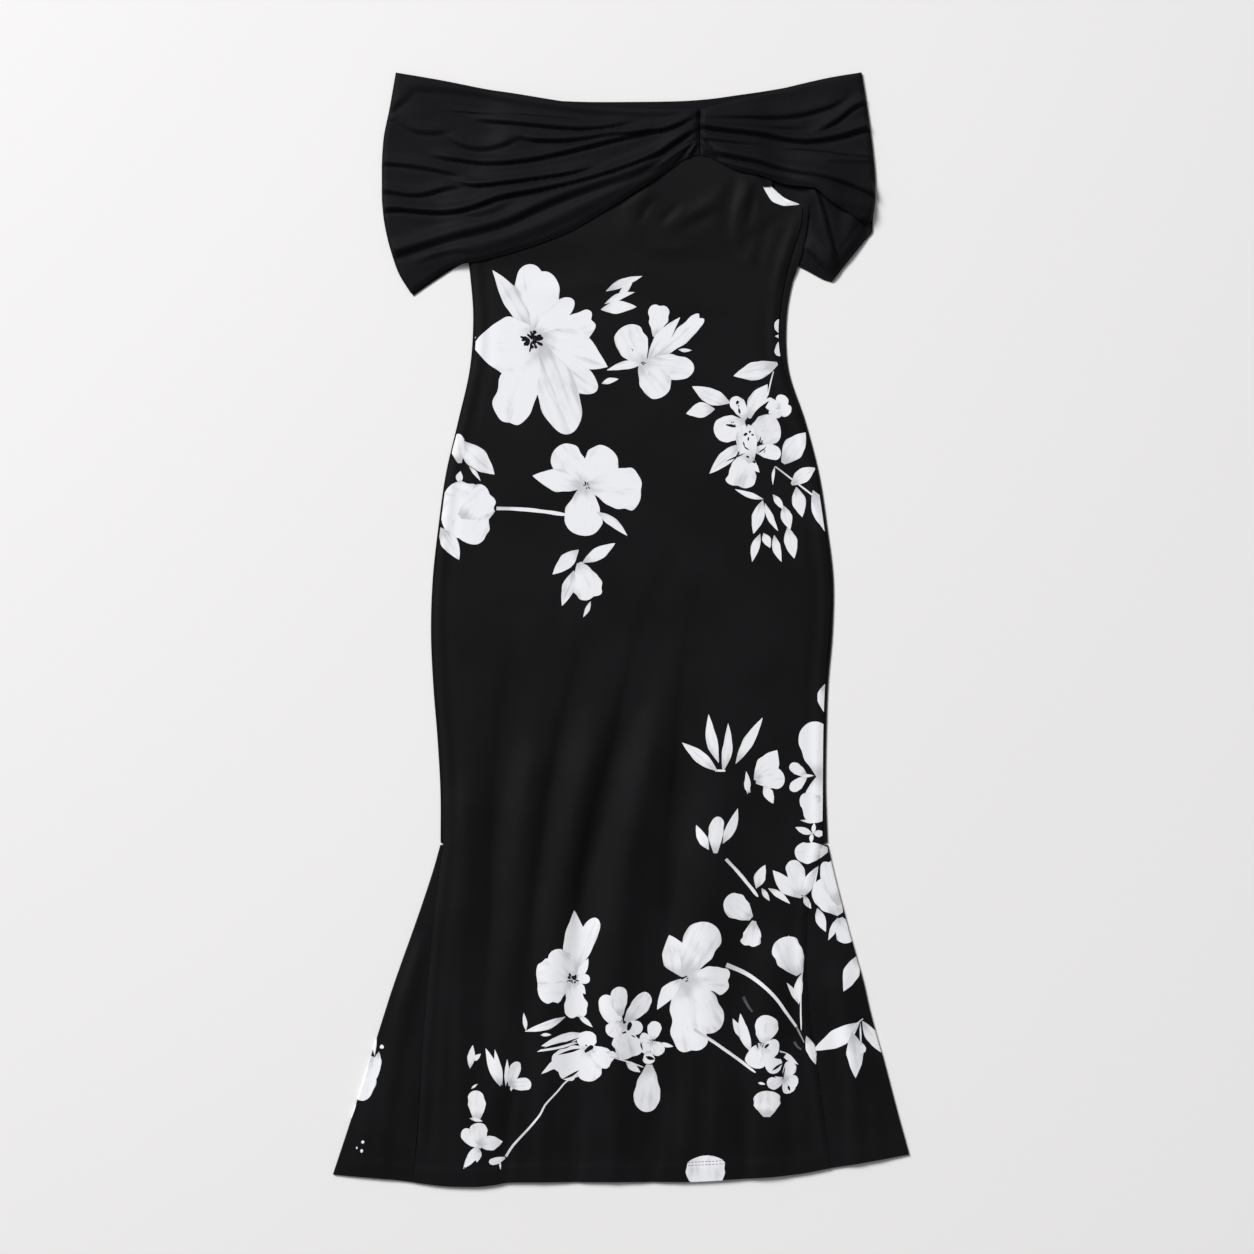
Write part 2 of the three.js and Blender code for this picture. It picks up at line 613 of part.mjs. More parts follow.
const dress = new THREE.Group();
dress.add(piece('back_drape', backDrape(), blackJersey));
dress.add(piece('back_panel', backPanel(), printedJersey));
dress.add(piece('neck_casing', neckCasing(), blackJersey));
dress.add(piece('front_panel', frontPanel(), printedJersey));
dress.add(piece('left_godet', godet('left'), printedJersey));
dress.add(piece('right_godet', godet('right'), printedJersey));
dress.add(piece('left_drape', leftDrape(), blackJersey));
dress.add(piece('right_drape', rightDrape(), blackJersey));
dress.add(piece('armhole_tab', armholeTab(), blackJersey));

export default dress;
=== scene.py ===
# Off-shoulder trumpet dress in jersey, laid flat on its back, seen from straight above
import math
import random

import bmesh
import bpy
import numpy as np
from mathutils import Matrix, Vector, geometry
from mathutils.bvhtree import BVHTree
from mathutils.kdtree import KDTree


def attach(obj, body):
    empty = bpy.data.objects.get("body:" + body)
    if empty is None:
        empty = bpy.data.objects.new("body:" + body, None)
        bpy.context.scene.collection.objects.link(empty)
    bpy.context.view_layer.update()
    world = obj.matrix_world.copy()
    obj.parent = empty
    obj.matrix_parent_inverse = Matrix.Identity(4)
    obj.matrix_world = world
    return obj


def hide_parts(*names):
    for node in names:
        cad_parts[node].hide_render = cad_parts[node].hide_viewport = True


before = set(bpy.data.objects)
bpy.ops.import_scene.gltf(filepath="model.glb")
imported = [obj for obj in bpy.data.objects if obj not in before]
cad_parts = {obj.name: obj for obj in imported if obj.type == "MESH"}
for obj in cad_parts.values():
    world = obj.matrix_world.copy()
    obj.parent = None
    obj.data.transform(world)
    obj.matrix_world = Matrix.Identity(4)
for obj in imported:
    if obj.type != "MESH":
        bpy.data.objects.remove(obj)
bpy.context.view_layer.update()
bpy.ops.object.select_all(action="DESELECT")
print("frame loaded")

# Everything below is worked out in millimetres and made a mesh in metres
metre = 0.001
cloth = {"wall": 1.2, "gap": 0.12, "hemDepth": 20, "hemRise": 0.35}
# Places are counted in squares, right and down from the dress's upper left: millimetres a square,
# and where the middle is
wholeDress = {"square": 1.1, "middle": (621, 629.4), "corner": (0, 0), "squares": 1}
# How far from their ends creases and leaning folds are whole, and the fold's steep side and foot
creaseFade = 170
foldForm = {"fade": 34, "steep": 0.72, "footAt": 0.15, "footReach": 0.5, "footDepth": 0.34}
mostFaded = 0.45  # of a path's length, at each end
pathStep = {"crease": 6, "fold": 5, "stem": 4, "cut": 2, "stitch": 2}  # millimetres
sharpCorner = 40  # degrees; a softer turn in an outline is rounded
smoothUpTo = 52  # degrees between faces
skyward = 60  # above all of the dress
facing = 0.02  # least upward share of the normal of a top face
tiny = 1e-9
# A sheet's triangles: rows' pitch and distance from every line in spacings, then millimetres
gridRules = {"rowPitch": 0.866, "clear": 0.5, "merge": 1e-4, "sliver": 1e-5}
# How softly a sheet is lifted off what is below it, and from what height it is free
clearance = {"softness": 0.35, "certain": 3}
# Spacing of each sheet's triangles and reach of the blur that takes its solid's facets away
spacings = {
    "back_drape": 2.9, "back_panel": 6, "neck_casing": 3, "front_panel": 3.7, "left_godet": 4.2,
    "right_godet": 4.2, "left_drape": 1.75, "right_drape": 1.75, "armhole_tab": 1.6,
}
softnesses = {
    "back_drape": 5, "back_panel": 5, "neck_casing": 3, "front_panel": 7, "left_godet": 6,
    "right_godet": 6, "armhole_tab": 2,
}


def smoothStep(value):
    value = np.clip(value, 0, 1)
    return value * value * (3 - 2 * value)


def partWay(a, b, start, end, k):
    # from a at the start to b at the end
    return a * (end - k) / (end - start) + b * (k - start) / (end - start)


def softLine(points, step, closed=False):
    # a curve through points, with its sharp corners kept
    points = [np.array(point[:2], float) for point in points]
    count = len(points)

    def isCorner(i):
        if not closed and i in (0, count - 1):
            return True
        before = points[i] - points[i - 1]
        after = points[(i + 1) % count] - points[i]
        turn = math.atan2(before[0] * after[1] - before[1] * after[0], before @ after)
        return abs(math.degrees(turn)) > sharpCorner

    corner = [isCorner(i) for i in range(count)]
    line = []
    for i in range(count if closed else count - 1):
        start, end = points[i], points[(i + 1) % count]
        before = 2 * start - end if corner[i] else points[i - 1]
        after = 2 * end - start if corner[(i + 1) % count] else points[(i + 2) % count]
        knots = [0.0]
        for a, b in ((before, start), (start, end), (end, after)):
            knots.append(knots[-1] + max(math.sqrt(np.hypot(*(b - a))), 1e-6))
        k0, k1, k2, k3 = knots
        parts = max(1, round(np.hypot(*(end - start)) / step))
        for k in np.linspace(k1, k2, parts, endpoint=False):
            first, last = partWay(before, start, k0, k1, k), partWay(end, after, k2, k3, k)
            middle = partWay(start, end, k1, k2, k)
            first, last = partWay(first, middle, k0, k2, k), partWay(middle, last, k1, k3, k)
            line.append(partWay(first, last, k1, k2, k))
    if not closed:
        line.append(points[-1])
    return np.array(line)


def alongPath(line, x, y):
    # how far each place is from a line, how much of the line lies before and after it, and its side
    pieces = list(zip(line[:-1], line[1:]))
    whole = sum(np.hypot(*(b - a)) for a, b in pieces)
    nearest = np.full(x.shape, 1e9)
    travelled, side = np.zeros(x.shape), np.zeros(x.shape)
    done = 0
    for a, b in pieces:
        dx, dy = b - a
        length = math.hypot(dx, dy)
        t = np.clip(((x - a[0]) * dx + (y - a[1]) * dy) / length**2, 0, 1)
        outX, outY = x - a[0] - t * dx, y - a[1] - t * dy
        distance = np.hypot(outX, outY)
        closer = distance < nearest
        nearest = np.where(closer, distance, nearest)
        travelled = np.where(closer, done + t * length, travelled)
        side = np.where(closer, dx * outY - dy * outX, side)
        done += length
    return nearest, travelled, whole - travelled, side


def onCloth(area, x, y):
    # from squares counted right and down to millimetres from the middle
    corner, squares = area["corner"], area["squares"]
    middle, square = wholeDress["middle"], wholeDress["square"]
    across = (corner[0] + x / squares - middle[0]) * square
    upward = (middle[1] - corner[1] - y / squares) * square
    return np.array([across, upward])


def clothLine(path, step, closed=False):
    # a soft curve in millimetres, through places in the dress's squares
    return softLine([onCloth(wholeDress, *spot) for spot in path], step, closed)


def asRing(outline):
    return np.concatenate([outline, outline[:1]])


def bell(value, reach):
    return np.exp(-((value / reach) ** 2))


def endFades(before, after, longest):
    # nought at both ends of a path, full in its middle
    fade = min(longest, mostFaded * (before + after).max())
    return smoothStep(before / fade) * smoothStep(after / fade)


def asideOf(line):
    # the direction to the left of a line, at each of its places
    way = np.gradient(line, axis=0)
    way /= np.hypot(*way.T)[:, None]
    return np.stack([-way[:, 1], way[:, 0]], axis=1)


def creases(rows, x, y):
    # soft ridges, or troughs where the rise is below nought: rise, reach to the left and right of
    # the path (millimetres), and the path in squares
    height = np.zeros(x.shape)
    for rise, leftReach, rightReach, path in rows:
        distance, before, after, side = alongPath(clothLine(path, pathStep["crease"]), x, y)
        reach = np.where(side >= 0, leftReach, rightReach)
        height += rise * endFades(before, after, creaseFade) * bell(distance, reach)
    return height


def folds(rows, x, y):
    # folds that lean over: rise of the crest, reach above it, how far its foot lies below it
    # (millimetres), and the path of the foot in squares, from left to right
    height = np.zeros(x.shape)
    for rise, upper, lower, path in rows:
        distance, before, after, side = alongPath(clothLine(path, pathStep["fold"]), x, y)
        above = np.where(side >= 0, distance, -distance)
        crest = above - lower
        ridge = bell(crest, np.where(crest > 0, upper, foldForm["steep"] * lower))
        foot = bell(above + foldForm["footAt"] * lower, foldForm["footReach"] * lower)
        ends = endFades(before, after, foldForm["fade"])
        height += rise * ends * (ridge - foldForm["footDepth"] * foot)
    return height


def inMillimetres(mesh):
    shape = bmesh.new()
    shape.from_mesh(mesh)
    bmesh.ops.scale(shape, vec=(1 / metre,) * 3, verts=shape.verts)
    return shape


def plumb(tree, x, y, missing=None):
    # the height at which a plumb line meets a mesh
    hit = tree.ray_cast(Vector((x, y, skyward)), Vector((0, 0, -1)))[0]
    return hit.z if hit else missing


def solidCopy(name):
    # a solid's mesh with its corners merged
    shape = inMillimetres(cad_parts[name].data)
    bmesh.ops.remove_doubles(shape, verts=shape.verts, dist=0.02)
    shape.normal_update()
    shape.verts.index_update()
    return shape


def planOutline(name):
    # the outline that a solid shows from above, as the corners of its top face
    shape = solidCopy(name)
    tree = BVHTree.FromBMesh(shape)
    upper = {face for face in shape.faces if face.normal.z > facing}
    above, down, beside = Vector((0, 0, skyward)), Vector((0, 0, -1)), 0.3
    following = {}
    for face in upper:
        for loop in face.loops:
            if sum(other in upper for other in loop.edge.link_faces) != 1:
                continue
            start, end = loop.vert, loop.link_loop_next.vert
            middle = (start.co + end.co) / 2
            outward = Vector((end.co.y - start.co.y, start.co.x - end.co.x, 0))
            if outward.length < 1e-6:
                continue
            outward = outward.normalized() * beside
            outside = tree.ray_cast(middle + outward + above, down)[0]
            inside = tree.ray_cast(middle - outward + above, down)[0]
            if outside is None and inside and abs(inside.z - middle.z) < cloth["wall"]:
                following[start.index] = (end.index, start.co.copy())
    first = at = next(iter(sorted(following)))
    corners = []
    while True:
        at, place = following[at]
        corners.append(place)
        if at == first:
            break
    shape.free()
    return corners


def blur(field, reach):
    kernel = bell(np.arange(-2 * reach, 2 * reach + 1), reach)
    for axis in (0, 1):
        field = np.apply_along_axis(np.convolve, axis, field, kernel / kernel.sum(), "same")
    return field


def widened(field, reach):
    # every place takes the highest value within the reach
    for axis in (0, 1):
        field = np.max([np.roll(field, i, axis) for i in range(-reach, reach + 1)], axis=0)
    return field


def softField(low, high, castAt, softness, bridging=0):
    # heights over an area, cleared of their small steps, as a function of the place; a sheet that
    # bridges lies level with the highest place near it
    step = 2.0
    reach = max(1, round(softness / step))
    margin = (8 * reach + 2) * step  # room for the widest blur
    xs = np.arange(low[0] - margin, high[0] + margin, step)
    ys = np.arange(low[1] - margin, high[1] + margin, step)
    tops, seen = np.zeros((len(ys), len(xs))), np.zeros((len(ys), len(xs)))
    for j, y in enumerate(ys):
        if low[1] <= y <= high[1]:
            for i, x in enumerate(xs):
                hit = castAt(x, y) if low[0] <= x <= high[0] else None
                if hit is not None:
                    tops[j, i], seen[j, i] = hit, 1
    if bridging:
        tops = widened(tops, round(bridging / step))
    near, nearShare = blur(tops * seen, reach), blur(seen, reach)
    wide, wideShare = blur(tops * seen, 4 * reach), blur(seen, 4 * reach)
    wide = wide / np.maximum(wideShare, tiny)
    wellSeen = 0.04
    field = np.where(nearShare > wellSeen, near / np.maximum(nearShare, tiny), wide)

    def heightAt(x, y):
        across = np.clip((x - xs[0]) / step, 0, len(xs) - 1.001)
        along = np.clip((y - ys[0]) / step, 0, len(ys) - 1.001)
        i, j = across.astype(int), along.astype(int)
        u, v = across - i, along - j
        under = field[j, i] * (1 - u) + field[j, i + 1] * u
        over = field[j + 1, i] * (1 - u) + field[j + 1, i + 1] * u
        return under * (1 - v) + over * v

    return heightAt


def solidHeights(name):
    # the height of a solid's top, without its flat facets
    shape = solidCopy(name)
    tree = BVHTree.FromBMesh(shape)
    corners = np.array([vert.co[:2] for vert in shape.verts])
    shape.free()
    low, high = corners.min(axis=0), corners.max(axis=0)
    return softField(low, high, lambda x, y: plumb(tree, x, y), softnesses[name])


def topOf(piece):
    # finds the top of a finished piece at a place
    shape = inMillimetres(piece.data)
    tree = BVHTree.FromBMesh(shape)
    shape.free()
    return lambda x, y: plumb(tree, x, y, 0.0)


def clearOf(lower, x, y, z):
    # lifts a sheet softly where it would press into what it lies on
    under = np.array([max(top(a, b) for top in lower) for a, b in zip(x, y)])
    least = under + cloth["gap"] + cloth["wall"]
    spare, soft, certain = z - least, clearance["softness"], clearance["certain"]
    lifted = soft * np.log1p(np.exp(np.clip(spare, -3 * certain, certain) / soft))
    return least + np.where(spare > certain, spare, lifted)


def insideOf(line, x, y):
    # whether each place lies within an outline
    inside = np.zeros(x.shape, bool)
    for (ax, ay), (bx, by) in zip(line, np.roll(line, -1, axis=0)):
        crosses = (ay > y) != (by > y)
        where = ax + (y - ay) * (bx - ax) / np.where(by == ay, tiny, by - ay)
        inside ^= crosses & (x < where)
    return inside


def flatSheet(border, spacing, petals, extra):
    # triangles over an outline, cut along every petal's edge, and the petal on top of each
    low, high = border.min(axis=0), border.max(axis=0)
    rows = np.arange(low[1], high[1], spacing * gridRules["rowPitch"])
    grid = []
    for j, y in enumerate(rows):
        xs = np.arange(low[0] + spacing * (j % 2) / 2, high[0], spacing)
        grid.append(np.stack([xs, np.full(xs.shape, y)], axis=1))
    grid = np.concatenate(grid)
    grid = grid[insideOf(border, grid[:, 0], grid[:, 1])]
    places, faces, edges = [], [], []
    for line in (border, *[item["outline"] for item in petals]):
        faces.append(list(range(len(places), len(places) + len(line))))
        places += [Vector(place) for place in line]
    for line in extra:
        edges += [(len(places) + i, len(places) + i + 1) for i in range(len(line) - 1)]
        places += [Vector(place) for place in line]
    busy = KDTree(len(places))
    for number, place in enumerate(places):
        busy.insert((*place, 0), number)
    busy.balance()
    clear = gridRules["clear"] * spacing
    places += [Vector(place) for place in grid if busy.find((*place, 0))[2] > clear]
    made = geometry.delaunay_2d_cdt(places, edges, faces, 0, gridRules["merge"], True)
    triangles, owners = [], []
    for triangle, holders in zip(made[2], made[5]):
        if 0 in holders:
            a, b, c = (made[0][i] for i in triangle)
            turn = (b - a).cross(c - a)
            if abs(turn) < gridRules["sliver"]:
                continue
            triangles.append(triangle if turn > 0 else triangle[::-1])
            owners.append(max(holders) - 1)
    used = sorted({i for triangle in triangles for i in triangle})
    new = {old: i for i, old in enumerate(used)}
    corners = np.array([made[0][old][:] for old in used])
    return corners, [[new[i] for i in triangle] for triangle in triangles], owners


def makePiece(name, places, triangles, owners, petals):
    # a mesh of places in millimetres, with the print's own map where it has one
    mesh = bpy.data.meshes.new(name)
    mesh.from_pydata((np.asarray(places) * metre).tolist(), [], triangles)
    if owners is not None:
        petalMap = mesh.uv_layers.new(name="petal")
        inkMap = mesh.uv_layers.new(name="ink")
        spots, inks = [], []
        for triangle, owner in zip(triangles, owners):
            for corner in triangle:
                if owner < 0:
                    spots += [0, 0]
                    inks += [0, 0]
                    continue
                item = petals[owner]
                away = np.array(places[corner][:2]) - item["base"]
                spots += [away @ item["along"], away @ item["across"]]
                inks += [item["ink"], item["tone"]]
        petalMap.data.foreach_set("uv", spots)
        inkMap.data.foreach_set("uv", inks)
    piece = bpy.data.objects.new(name, mesh)
    bpy.context.collection.objects.link(piece)
    return piece


def giveWall(piece):
    # the cloth's thickness, added below its face
    bpy.ops.object.select_all(action="DESELECT")
    piece.select_set(True)
    bpy.context.view_layer.objects.active = piece
    wall = piece.modifiers.new("wall", "SOLIDIFY")
    wall.thickness = cloth["wall"] * metre
    wall.offset = -1
    bpy.ops.object.modifier_apply(modifier="wall")
    bpy.ops.object.shade_smooth_by_angle(angle=math.radians(smoothUpTo))
    piece.select_set(False)
    return piece


def place(piece, nodes, slot, finish):
    piece.data.materials.clear()
    piece.data.materials.append(finish)
    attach(piece, "root")
    if nodes:
        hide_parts(*nodes)


# Finishes
class shaderValue:
    def __init__(self, tree, socket):
        self.tree, self.socket = tree, socket

    def reckon(self, operation, first, second=None):
        made = self.tree.nodes.new("ShaderNodeMath")
        made.operation = operation
        for slot, item in zip(made.inputs, (first, second)):
            if isinstance(item, shaderValue):
                self.tree.links.new(item.socket, slot)
            elif item is not None:
                slot.default_value = item
        return shaderValue(self.tree, made.outputs[0])

    def __add__(self, other):
        return self.reckon("ADD", self, other)

    def __sub__(self, other):
        return self.reckon("SUBTRACT", self, other)

    def __rsub__(self, other):
        return self.reckon("SUBTRACT", other, self)

    def __mul__(self, other):
        return self.reckon("MULTIPLY", self, other)

    __radd__ = __add__

    def size(self):
        return self.reckon("ABSOLUTE", self)

    def ramp(self, low, high):
        # from 0 at low to 1 at high, softly
        made = self.tree.nodes.new("ShaderNodeMapRange")
        made.interpolation_type = "SMOOTHSTEP"
        self.tree.links.new(self.socket, made.inputs["Value"])
        made.inputs["From Min"].default_value = low
        made.inputs["From Max"].default_value = high
        return shaderValue(self.tree, made.outputs[0])


class finishRecipe:
    def __init__(self, name):
        self.material = bpy.data.materials.new(name)
        self.material.use_nodes = True
        self.tree = self.material.node_tree
        self.shader = next(n for n in self.tree.nodes if n.type == "BSDF_PRINCIPLED")

    def feed(self, slot, item):
        if isinstance(item, shaderValue):
            self.tree.links.new(item.socket, slot)
        else:
            slot.default_value = item

    def node(self, kind, settings=None, inputs=None, output=0):
        made = self.tree.nodes.new("ShaderNode" + kind)
        for name, setting in (settings or {}).items():
            setattr(made, name, setting)
        for name, item in (inputs or {}).items():
            self.feed(made.inputs[name], item)
        return shaderValue(self.tree, made.outputs[output])

    def noise(self, spot, scale, detail):
        return self.node("TexNoise", {}, {"Vector": spot, "Scale": scale, "Detail": detail})

    def mapped(self, name):
        # both values of one of the print's maps
        spot = self.node("UVMap", {"uv_map": name})
        return [self.node("SeparateXYZ", {}, {0: spot}, i) for i in (0, 1)]

    def mix(self, share, first, second):
        return self.node("Mix", {"data_type": "RGBA"}, {0: share, 6: first, 7: second}, 2)

    def blend(self, share, look, first, second):
        return self.mix(share, (*look[first], 1), (*look[second], 1))

    def shade(self, **sockets):
        for name, item in sockets.items():
            self.feed(self.shader.inputs[name.replace("_", " ")], item)
        return self.material


# Scales in features a metre, and how deep the knit is in metres
knit = {"wales": 260, "wander": 1.4, "wanderScale": 90, "grain": 900, "slub": 60, "depth": 0.0004}
# How many strokes lie along and across a petal, how they shift from one to the next, and scales
brushwork = {"along": 1.3, "across": 2.1, "shuffle": 37, "strokes": 1.5, "wash": 42}
cloudScales = {"plain": 14, "fine": 420, "printed": 11}
# How much each of them greys a petal
shades = {"strokes": 0.42, "wash": 0.3, "root": 0.8, "rim": 0.35, "midrib": 0.25, "tone": 0.35}


def knitBump(recipe, spot, strength):
    # fine upright wales with a little unevenness, and the cloth's slow slubs
    wales = recipe.node(
        "TexWave",
        {"wave_type": "BANDS", "bands_direction": "X"},
        {"Vector": spot, "Scale": knit["wales"], "Distortion": knit["wander"], "Detail": 1,
         "Detail Scale": knit["wanderScale"]},
        1,
    )
    grain, slub = recipe.noise(spot, knit["grain"], 2), recipe.noise(spot, knit["slub"], 3)
    height = wales * 0.45 + grain * 0.4 + slub * 0.5
    settings = {"Strength": strength, "Distance": knit["depth"], "Height": height}
    return recipe.node("Bump", {}, settings)


def jerseyFinish(recipe, look, spot, colour, unevenness):
    # what both cloths share: the knit, a little sheen and a low gloss
    return recipe.shade(
        Base_Color=colour,
        Roughness=look["roughness"] + unevenness,
        Normal=knitBump(recipe, spot, look["bump"]),
        Sheen_Weight=look["sheen"],
        Sheen_Roughness=0.4,
        Specular_IOR_Level=look["gloss"],
    )


def plainJersey(name, look):
    recipe = finishRecipe(name)
    spot = recipe.node("TexCoord", output=3)
    cloudy = recipe.noise(spot, cloudScales["plain"], 3)
    fine = recipe.noise(spot, cloudScales["fine"], 2)
    cloudy = (cloudy * 0.6 + fine * 0.4).ramp(0.3, 0.7)
    return jerseyFinish(recipe, look, spot, recipe.blend(cloudy, look, "dark", "light"), fine * 0.12)


def printedJersey(name, look):
    recipe = finishRecipe(name)
    spot = recipe.node("TexCoord", output=3)
    (along, across), (ink, tone) = recipe.mapped("petal"), recipe.mapped("ink")
    # brush strokes run from the petal's root to its tip
    brush = {"X": along * brushwork["along"], "Y": across * brushwork["across"]}
    brush = recipe.node("CombineXYZ", {}, {**brush, "Z": tone * brushwork["shuffle"]})
    strokes = recipe.noise(brush, brushwork["strokes"], 3)
    wash = recipe.noise(spot, brushwork["wash"], 2)
    root = 1 - along.ramp(0.02, 0.4)
    rim = across.size().ramp(0.7, 1.05)
    midrib = 1 - across.size().ramp(0.0, 0.09)
    shade = (
        strokes.ramp(0.4, 0.78) * shades["strokes"]
        + wash.ramp(0.42, 0.75) * shades["wash"]
        + root * shades["root"]
        + rim * strokes.ramp(0.35, 0.6) * shades["rim"]
        + midrib * strokes.ramp(0.45, 0.65) * shades["midrib"]
        + (tone - 0.5) * shades["tone"]
    )
    white = recipe.blend(shade.ramp(0.1, 1.1), look, "white", "grey")
    cloudy = recipe.noise(spot, cloudScales["printed"], 3).ramp(0.35, 0.65)
    ground = recipe.blend(cloudy, look, "dark", "light")
    return jerseyFinish(recipe, look, spot, recipe.mix(ink, ground, white), ink * 0.08)


plainLook = {
    "dark": (0.0054, 0.0053, 0.0064), "light": (0.0073, 0.0072, 0.0086),
    "roughness": 0.52, "sheen": 0.006, "gloss": 0.045, "bump": 0.3,
}
printLook = {
    "dark": (0.0054, 0.0053, 0.0060), "light": (0.0069, 0.0068, 0.0077),
    "white": (0.79, 0.795, 0.83), "grey": (0.52, 0.525, 0.555),
    "roughness": 0.52, "sheen": 0.006, "gloss": 0.06, "bump": 0.25,
}
threadLook = {
    "dark": (0.005, 0.005, 0.006), "light": (0.009, 0.009, 0.010),
    "roughness": 0.5, "sheen": 0.02, "gloss": 0.12, "bump": 0.25,
}
jersey = plainJersey("black jersey", plainLook)
printed = printedJersey("printed jersey", printLook)
thread = plainJersey("black thread", threadLook)
print("finishes made")


# The print: petals and leaves by their root, tip and width, each measured on its area's own squares
printAreas = {
    "bodice": {"corner": (430, 250), "squares": 3},
    "right": {"corner": (640, 680), "squares": 4},
    "hem": {"corner": (440, 890), "squares": 5},
    "godet": {"corner": (330, 1030), "squares": 10},
}
petalForms = {
    "broad": {"widest": 0.62, "root": 0.24, "tip": (2.3, 0.5), "wave": 0.05},
    "fringed": {"widest": 0.66, "root": 0.2, "tip": (3.2, 0.5), "wave": 0.085},
    "pointed": {"widest": 0.5, "root": 0.18, "tip": (1.5, 0.95), "wave": 0.045},
    "leaf": {"widest": 0.46, "root": 0.04, "tip": (1.5, 0.95), "wave": 0.04},
    "stem": {"widest": 0.5, "root": 0.9, "tip": (8, 0.5), "wave": 0.08},
    "mark": {"widest": 0.6, "root": 0.5, "tip": (2, 0.5), "wave": 0.1},
}


def rowOf(kind):
    return lambda *measures: (kind, *measures)


